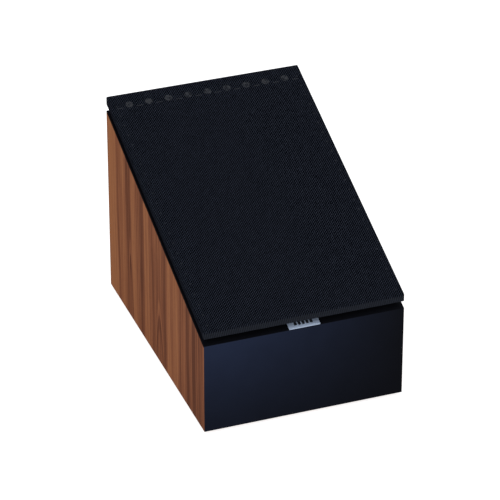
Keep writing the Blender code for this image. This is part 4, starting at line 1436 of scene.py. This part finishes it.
def dome_outline():
    """Dome and its coil former as one thin shell."""
    radius, rise, wall = 6.9, 3, 0.5
    top, foot = -9.6, -17.5
    ball = (radius**2 + rise**2) / (2 * rise)
    centre = (0, top - ball)
    edge = math.degrees(math.acos(radius / ball))
    outer = arc(centre, ball, 90, edge, 12)
    inner = arc(centre, ball - wall, edge, 90, 12)
    outer[0] = (0, top)
    inner[-1] = (0, top - wall)
    hollow = radius - wall
    return outer + [(radius, foot), (hollow, foot), (hollow, inner[0][1] - 0.2)] + inner[1:]


class SPEAKER_OT_build_driver(bpy.types.Operator):
    """Build the coaxial driver behind the grille: basket, trim ring, surround, cone, waveguide and dome"""

    bl_idname = "speaker.build_driver"
    bl_label = "Build Driver"

    def execute(self, context):
        self.build_basket()
        self.build_surround()
        ring = rounded([(54.4, 0.5), (54.4, -0.5), (50.2, -0.5), (50.2, 0.5)], 0.4)
        waveguide = [(0, -30.2), (15, -30.2), (15, -7), (14.2, -6.9), (13.5, -7.1), (11.6, -8.4)]
        waveguide += [(9.6, -10.4), (8.2, -12.0), (7.4, -12.6), (7.4, -20.5), (0, -20.5)]
        pieces = (
            ("gasket_ring", ring, "surround_rubber", "cabinet", "trim_ring", "black_rubber"),
            ("paper_cone", cone_outline(), "cone_paper", "cone_and_coil", "woofer_cone", "cone_paper"),
            ("waveguide", waveguide, "tweeter_plastic", "cabinet", "tweeter_housing", "black_plastic"),
            ("silk_dome", dome_outline(), "dome_silk", "dome", "tweeter_dome", "dome_silk"),
        )
        for name, outline, look, body, stands_for, slot in pieces:
            finish(name, spun(outline, FINE), look, body, [stands_for], DRIVER_PLACE, 40)
        return {"FINISHED"}

    def build_basket(self):
        """Pressed basket with its flange, windows and screw holes."""
        outline = [(61, -0.2), (61, -4), (51.8, -4), (51.8, -9), (44, -22), (40.2, -23.5)]
        outline += [(40.2, -30), (24, -30), (24, -28), (37.8, -28), (37.8, -21.6), (41.8, -21.6)]
        outline += [(49.4, -9), (49.4, -1.7), (54.6, -1.7), (54.6, -0.2)]
        cutters = []
        foot, head = -19.6 * MM, -10.6 * MM
        for x, y in ((60 * MM, 21 * MM), (21 * MM, 60 * MM)):
            cutters.append((block((-x, -y, foot), (x, y, head)), None))
        cutters += bores(DRIVER_SCREWS, DRIVER_PLACE, -6, 3, start=Matrix())
        shape = carve(spun(rounded(outline, 0.5, 2), FINE), cutters)
        look = "basket_steel"
        finish("pressed_basket", shape, look, "cabinet", ["driver_basket"], DRIVER_PLACE, 40)

    def build_surround(self):
        """Rubber half-roll between the cone and the basket, set in place without riding on a body."""
        shape = spun(surround_outline(), FINE)
        rubber = "surround_rubber"
        surround = finish("half_roll", shape, rubber, None, (), DRIVER_PLACE, 40)
        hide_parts("woofer_surround")
        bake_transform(surround)


def screw_shape(head_low, tip):
    """Pan-head screw with a cross recess, about its axis."""
    outline = [(0, head_low + 1.6), (1.9, head_low + 1.5), (3, head_low + 0.8), (3, head_low)]
    outline += [(1.5, head_low), (1.5, tip + 1.2), (0, tip)]
    shape = spun(rounded(outline, 0.35), 32)
    top = head_low + 3
    bottom = head_low + 0.5
    wings = []
    for x, y in ((1.5, 0.28), (0.28, 1.5)):
        wings.append((block((-x * MM, -y * MM, bottom * MM), (x * MM, y * MM, top * MM)), None))
    return carve(shape, wings)


class SPEAKER_OT_build_screws(bpy.types.Operator):
    """Set the screws of the driver, the terminal cup and the hanger plate"""

    bl_idname = "speaker.build_screws"
    bl_label = "Set Screws"

    def execute(self, context):
        tree = make_ring_tree()
        hanger = BACK_PLACE.inverted() @ middle("hanger_plate")
        plate = shifted(BACK_PLACE, hanger.x, hanger.y)
        eighth = math.tau / 8
        rings = (
            ("driver_screws", DRIVER_SCREWS, DRIVER_PLACE, 57.8, eighth, 0.1, -13, "black_screw"),
            ("cup_screws", CUP_SCREWS, BACK_PLACE, 33.6, eighth, -1.8, -10.5, "black_screw"),
            ("hanger_screws", HANGER_SCREWS, plate, 16, 2 * eighth, -1.8, -10.5, "plated_steel"),
        )
        for name, nodes, place, circle, start, head, tip, look in rings:
            item = helper("screw", screw_shape(head, tip))
            values = {
                "Item": item,
                "Count": len(nodes),
                "Circle": circle * MM,
                "Start": start,
                "Seed": 5,
                "Material": LOOKS[look],
            }
            screws = grown(name, tree, values, place)
            settle_in(screws, look, "cabinet", nodes)
            bpy.data.objects.remove(item)
        return {"FINISHED"}


# ---------------------------------------------------------------- back


def flutes(radius, height, angle):
    """Grip of a knob: shallow rounded flutes in its outer wall."""
    inner_wall, shoulder = 6.5, -7.2
    count, depth = 18, 0.06
    if radius < inner_wall or height > shoulder:
        return 1.0
    return 1 - depth * (0.5 - 0.5 * math.cos(count * angle)) ** 1.5


class SPEAKER_OT_build_terminals(bpy.types.Operator):
    """Build the recessed terminal cup, its two binding posts, clamp washers and fluted knobs"""

    bl_idname = "speaker.build_terminals"
    bl_label = "Build Terminals"

    def execute(self, context):
        self.build_cup()
        for sign, knob in (("plus", "clear_knob"), ("minus", "black_knob")):
            x = middle(f"{sign}_binding_post").x
            self.build_post(sign, shifted(BACK_PLACE, x, 0), knob)
        return {"FINISHED"}

    def build_cup(self):
        cup = [(0, -32), (30, -32), (30, -4.6), (37, -4.6), (37, -2.1)]
        cup += [(28.4, -2.1), (27.5, -3), (27.5, -29), (0, -29)]
        cutters = []
        for name in ("plus_binding_post", "minus_binding_post"):
            cutters.append((rod(3.5, -40, -20), Matrix.Translation((middle(name).x, 0, 0))))
        cutters += bores(CUP_SCREWS, BACK_PLACE, -8, 2, start=Matrix())
        shape = carve(spun(rounded(cup, 0.6), FINE), cutters)
        look = "black_plastic"
        finish("recessed_cup", shape, look, "cabinet", ["terminal_cup"], BACK_PLACE)

    def build_post(self, sign, place, knob_look):
        post = [(0, -21), (2, -21), (2, -9), (2.8, -9), (2.8, -26.7), (5.5, -26.7), (5.5, -28.7)]
        post += [(3, -28.7), (3, -32.3), (5, -32.3), (5, -36), (2.8, -36), (2.8, -40), (0, -40)]
        wire_hole = rod(1.4, -6, 6)
        sideways = Matrix.Translation((0, 0, -24.6 * MM)) @ Matrix.Rotation(math.pi / 2, 4, "Y")
        shape = carve(spun(rounded(post, 0.2), 48), [(wire_hole, sideways)])
        gold = "gold_plate"
        finish(f"{sign}_post", shape, gold, "cabinet", [f"{sign}_binding_post"], place)
        washer = spun(rounded([(6.8, -24.9), (6.8, -26.3), (3.2, -26.3), (3.2, -24.9)], 0.25), 64)
        stands_for = [f"{sign}_clamp_washer"]
        finish(f"{sign}_washer_disc", washer, gold, f"{sign}_washer", stands_for, place)
        knob = rounded([(3.2, -6), (6.1, -6), (7, -7), (7, -24.5), (3.2, -24.5)], 0.5)
        shape = spun(knob, 144, flutes)
        stands_for = [f"{sign}_binding_knob"]
        finish(f"{sign}_knob_cap", shape, knob_look, f"{sign}_knob", stands_for, place, 50)


class SPEAKER_OT_build_hanger(bpy.types.Operator):
    """Build the steel keyhole plate let into the back"""

    bl_idname = "speaker.build_hanger"
    bl_label = "Build Hanger Plate"

    def execute(self, context):
        low, high = corners("hanger_plate")
        centre = BACK_PLACE.inverted() @ ((low + high) / 2)
        outline = rounded_rectangle((high.x - low.x) / 2, (high.z - low.z) / 2, 3 * MM)
        half_thickness, rise = 0.75 * MM, 5 * MM
        plate = prism(outline, centre.z - half_thickness, centre.z + half_thickness)
        eye, slit = 4.6 * MM, 2.5 * MM
        spread = math.degrees(math.asin(slit / eye))
        keyhole = arc((0, rise), eye, -90 + spread, 270 - spread, 40)
        keyhole += arc((0, -rise), slit, 180, 360, 20)
        cutters = [(prism(keyhole, -6 * MM, 0), None)]
        cutters += [(rod(SCREW_BORE, -6, 0), Matrix.Translation((0, y * MM, 0))) for y in (-16, 16)]
        shape = soften(carve(plate, cutters), 0.2 * MM, 60)
        place = shifted(BACK_PLACE, centre.x, centre.y)
        finish("keyhole_plate", shape, "plated_steel", "cabinet", ["hanger_plate"], place)
        return {"FINISHED"}


# ---------------------------------------------------------------- inside


class SPEAKER_OT_build_wadding(bpy.types.Operator):
    """Lay the fluffy wadding on the cabinet's floor"""

    bl_idname = "speaker.build_wadding"
    bl_label = "Lay Wadding"

    def execute(self, context):
        low, high = corners("acoustic_wadding")
        centre = (low + high) / 2
        half = (high - low) / 2
        power = 7.0
        lump_height = 1.98 * MM
        shape = bmesh.new()
        bmesh.ops.create_cube(shape, size=2)
        bmesh.ops.subdivide_edges(shape, edges=shape.edges[:], cuts=25, use_grid_fill=True)
        for vert in shape.verts:
            rough = vert.co.copy()
            soft = rough / sum(abs(value) ** power for value in rough) ** (1 / power)
            spot = Vector((soft.x * half.x, soft.y * half.y, soft.z * half.z))
            lump = 0.5 + 0.5 * noise.noise(spot * 45) + 0.25 * noise.noise(spot * 160)
            shrink = 1 - lump_height * max(0.0, lump) / half.z
            sideways = 0.97 + 0.03 * shrink
            vert.co = centre + Vector((spot.x * sideways, spot.y * sideways, spot.z * shrink))
        pad = finish("floor_wadding", shape, "wadding", "cabinet", ["acoustic_wadding"], angle=60)
        return {"FINISHED"}


class SPEAKER_OT_dress_inner_parts(bpy.types.Operator):
    """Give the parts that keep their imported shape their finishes"""

    bl_idname = "speaker.dress_inner_parts"
    bl_label = "Dress Inner Parts"

    def execute(self, context):
        looks = {
            "voice_coil": "voice_coil_copper",
            "spider": "spider_cloth",
            "top_plate": "plated_steel",
            "ferrite_magnet": "ferrite",
            "magnet_yoke": "plated_steel",
            "terminal_strip": "black_plastic",
            "tweeter_magnet": "plated_steel",
            "crossover_board": "circuit_board",
            "woofer_inductor": "woofer_inductor_copper",
            "tweeter_inductor": "tweeter_inductor_copper",
            "woofer_capacitor": "capacitor_film",
            "tweeter_capacitor": "capacitor_film",
            "tweeter_resistor": "white_ceramic",
            "input_lead": "lead_red",
            "driver_lead": "lead_black",
        }
        for name, look in looks.items():
            for place in frame["nodes"][name].material_slots:
                place.material = LOOKS[look]
        return {"FINISHED"}


# ---------------------------------------------------------------- stage


class SPEAKER_OT_set_stage(bpy.types.Operator):
    """Set a plain pale floor, soft lights and the camera"""

    bl_idname = "speaker.set_stage"
    bl_label = "Set Stage"

    def execute(self, context):
        scene = context.scene
        self.lay_floor(scene)
        self.hang_lights(scene)
        self.place_camera(scene)
        return {"FINISHED"}

    def lay_floor(self, scene):
        tree, shader = material("studio_floor")
        point = local_point(tree)
        paper = speckle(tree, point, 3.0, 2.0)
        tint = rgba(scene.wedge_colours.floor)
        tone = mixed(tree, number(tree, "MULTIPLY", paper, 0.02), tint, (0.8, 0.8, 0.8, 1))
        glow = {"Emission_Color": (1, 1, 1, 1), "Emission_Strength": 0.8}
        surface(tree, shader, tone, 0.9, Specular_IOR_Level=0.0, **glow)
        mesh = bpy.data.meshes.new("studio_floor")
        reach = 12.0
        rim = [(-reach, -reach, 0), (reach, -reach, 0), (reach, reach, 0), (-reach, reach, 0)]
        mesh.from_pydata(rim, [], [(0, 1, 2, 3)])
        mesh.materials.append(LOOKS["studio_floor"])
        floor = bpy.data.objects.new("studio_floor", mesh)
        scene.collection.objects.link(floor)

    def hang_lights(self, scene):
        world = bpy.data.worlds.new("studio_world")
        world.use_nodes = True
        sky = world.node_tree.nodes["Background"]
        sky.inputs["Color"].default_value = (0.98, 0.99, 1.0, 1)
        sky.inputs["Strength"].default_value = 1.03
        scene.world = world
        aim = Vector((0, 0, 0.09))
        panels = (
            ("key_panel", (-1.6, -1.4, 2.4), 1.6, 17.0),
            ("top_panel", (0.6, 0.4, 2.8), 2.0, 8.0),
            ("gap_panel", (-0.1, -2.2, 0.34), 0.6, 10.0),
        )
        for name, spot, size, energy in panels:
            light = bpy.data.lights.new(name, "AREA")
            light.size = size
            light.energy = energy
            lamp = bpy.data.objects.new(name, light)
            lamp.location = spot
            lamp.rotation_euler = (aim - Vector(spot)).to_track_quat("-Z", "Y").to_euler()
            scene.collection.objects.link(lamp)
        scene.view_settings.view_transform = "Standard"

    def place_camera(self, scene):
        sizes = scene.wedge_sizes
        aim = Vector((-2.8, -1.7, 92.9)) * MM
        turn = sizes.view_azimuth
        flat = math.cos(sizes.view_elevation)
        rise = math.sin(sizes.view_elevation)
        back = Vector((-flat * math.sin(turn), -flat * math.cos(turn), rise))
        lens = bpy.data.cameras.new("studio_camera")
        lens.lens = 228.5
        lens.sensor_width = 36.0
        lens.clip_end = 100.0
        camera = bpy.data.objects.new("studio_camera", lens)
        camera.location = aim + back * sizes.view_distance
        camera.rotation_euler = (-back).to_track_quat("-Z", "Y").to_euler()
        scene.collection.objects.link(camera)
        scene.camera = camera


# ---------------------------------------------------------------- add-on

STEPS = (
    SPEAKER_OT_mix_finishes,
    SPEAKER_OT_set_stage,
    SPEAKER_OT_build_cabinet,
    SPEAKER_OT_build_feet,
    SPEAKER_OT_build_grille,
    SPEAKER_OT_build_peg_sockets,
    SPEAKER_OT_build_badge,
    SPEAKER_OT_build_driver,
    SPEAKER_OT_build_screws,
    SPEAKER_OT_build_terminals,
    SPEAKER_OT_build_hanger,
    SPEAKER_OT_build_wadding,
    SPEAKER_OT_dress_inner_parts,
)


class VIEW3D_PT_wedge_loudspeaker(bpy.types.Panel):
    """Steps and settings of the loudspeaker"""

    bl_label = "Wedge Loudspeaker"
    bl_idname = "VIEW3D_PT_wedge_loudspeaker"
    bl_space_type = "VIEW_3D"
    bl_region_type = "UI"
    bl_category = "Loudspeaker"

    def draw(self, context):
        layout = self.layout
        for settings in (context.scene.wedge_sizes, context.scene.wedge_colours):
            box = layout.box()
            for name in settings.bl_rna.properties.keys():
                if name not in {"rna_type", "name"}:
                    box.prop(settings, name)
        for step in STEPS:
            layout.operator(step.bl_idname)


CLASSES = (WedgeSizes, WedgeColours, *STEPS, VIEW3D_PT_wedge_loudspeaker)


def register():
    for item in CLASSES:
        bpy.utils.register_class(item)
    bpy.types.Scene.wedge_sizes = PointerProperty(type=WedgeSizes)
    bpy.types.Scene.wedge_colours = PointerProperty(type=WedgeColours)


def unregister():
    del bpy.types.Scene.wedge_colours
    del bpy.types.Scene.wedge_sizes
    for item in reversed(CLASSES):
        bpy.utils.unregister_class(item)


def clear_startup():
    """Removes what the startup file holds, and leaves the frame."""
    kept = {*frame["bodies"].values(), *frame["nodes"].values()}
    for item in list(bpy.data.objects):
        if item not in kept:
            bpy.data.objects.remove(item)


def run(step):
    """Calls an operator by its name."""
    group, name = step.bl_idname.split(".")
    getattr(getattr(bpy.ops, group), name)()


def main():
    clear_startup()
    register()
    for step in STEPS:
        run(step)


if __name__ == "__main__":
    main()
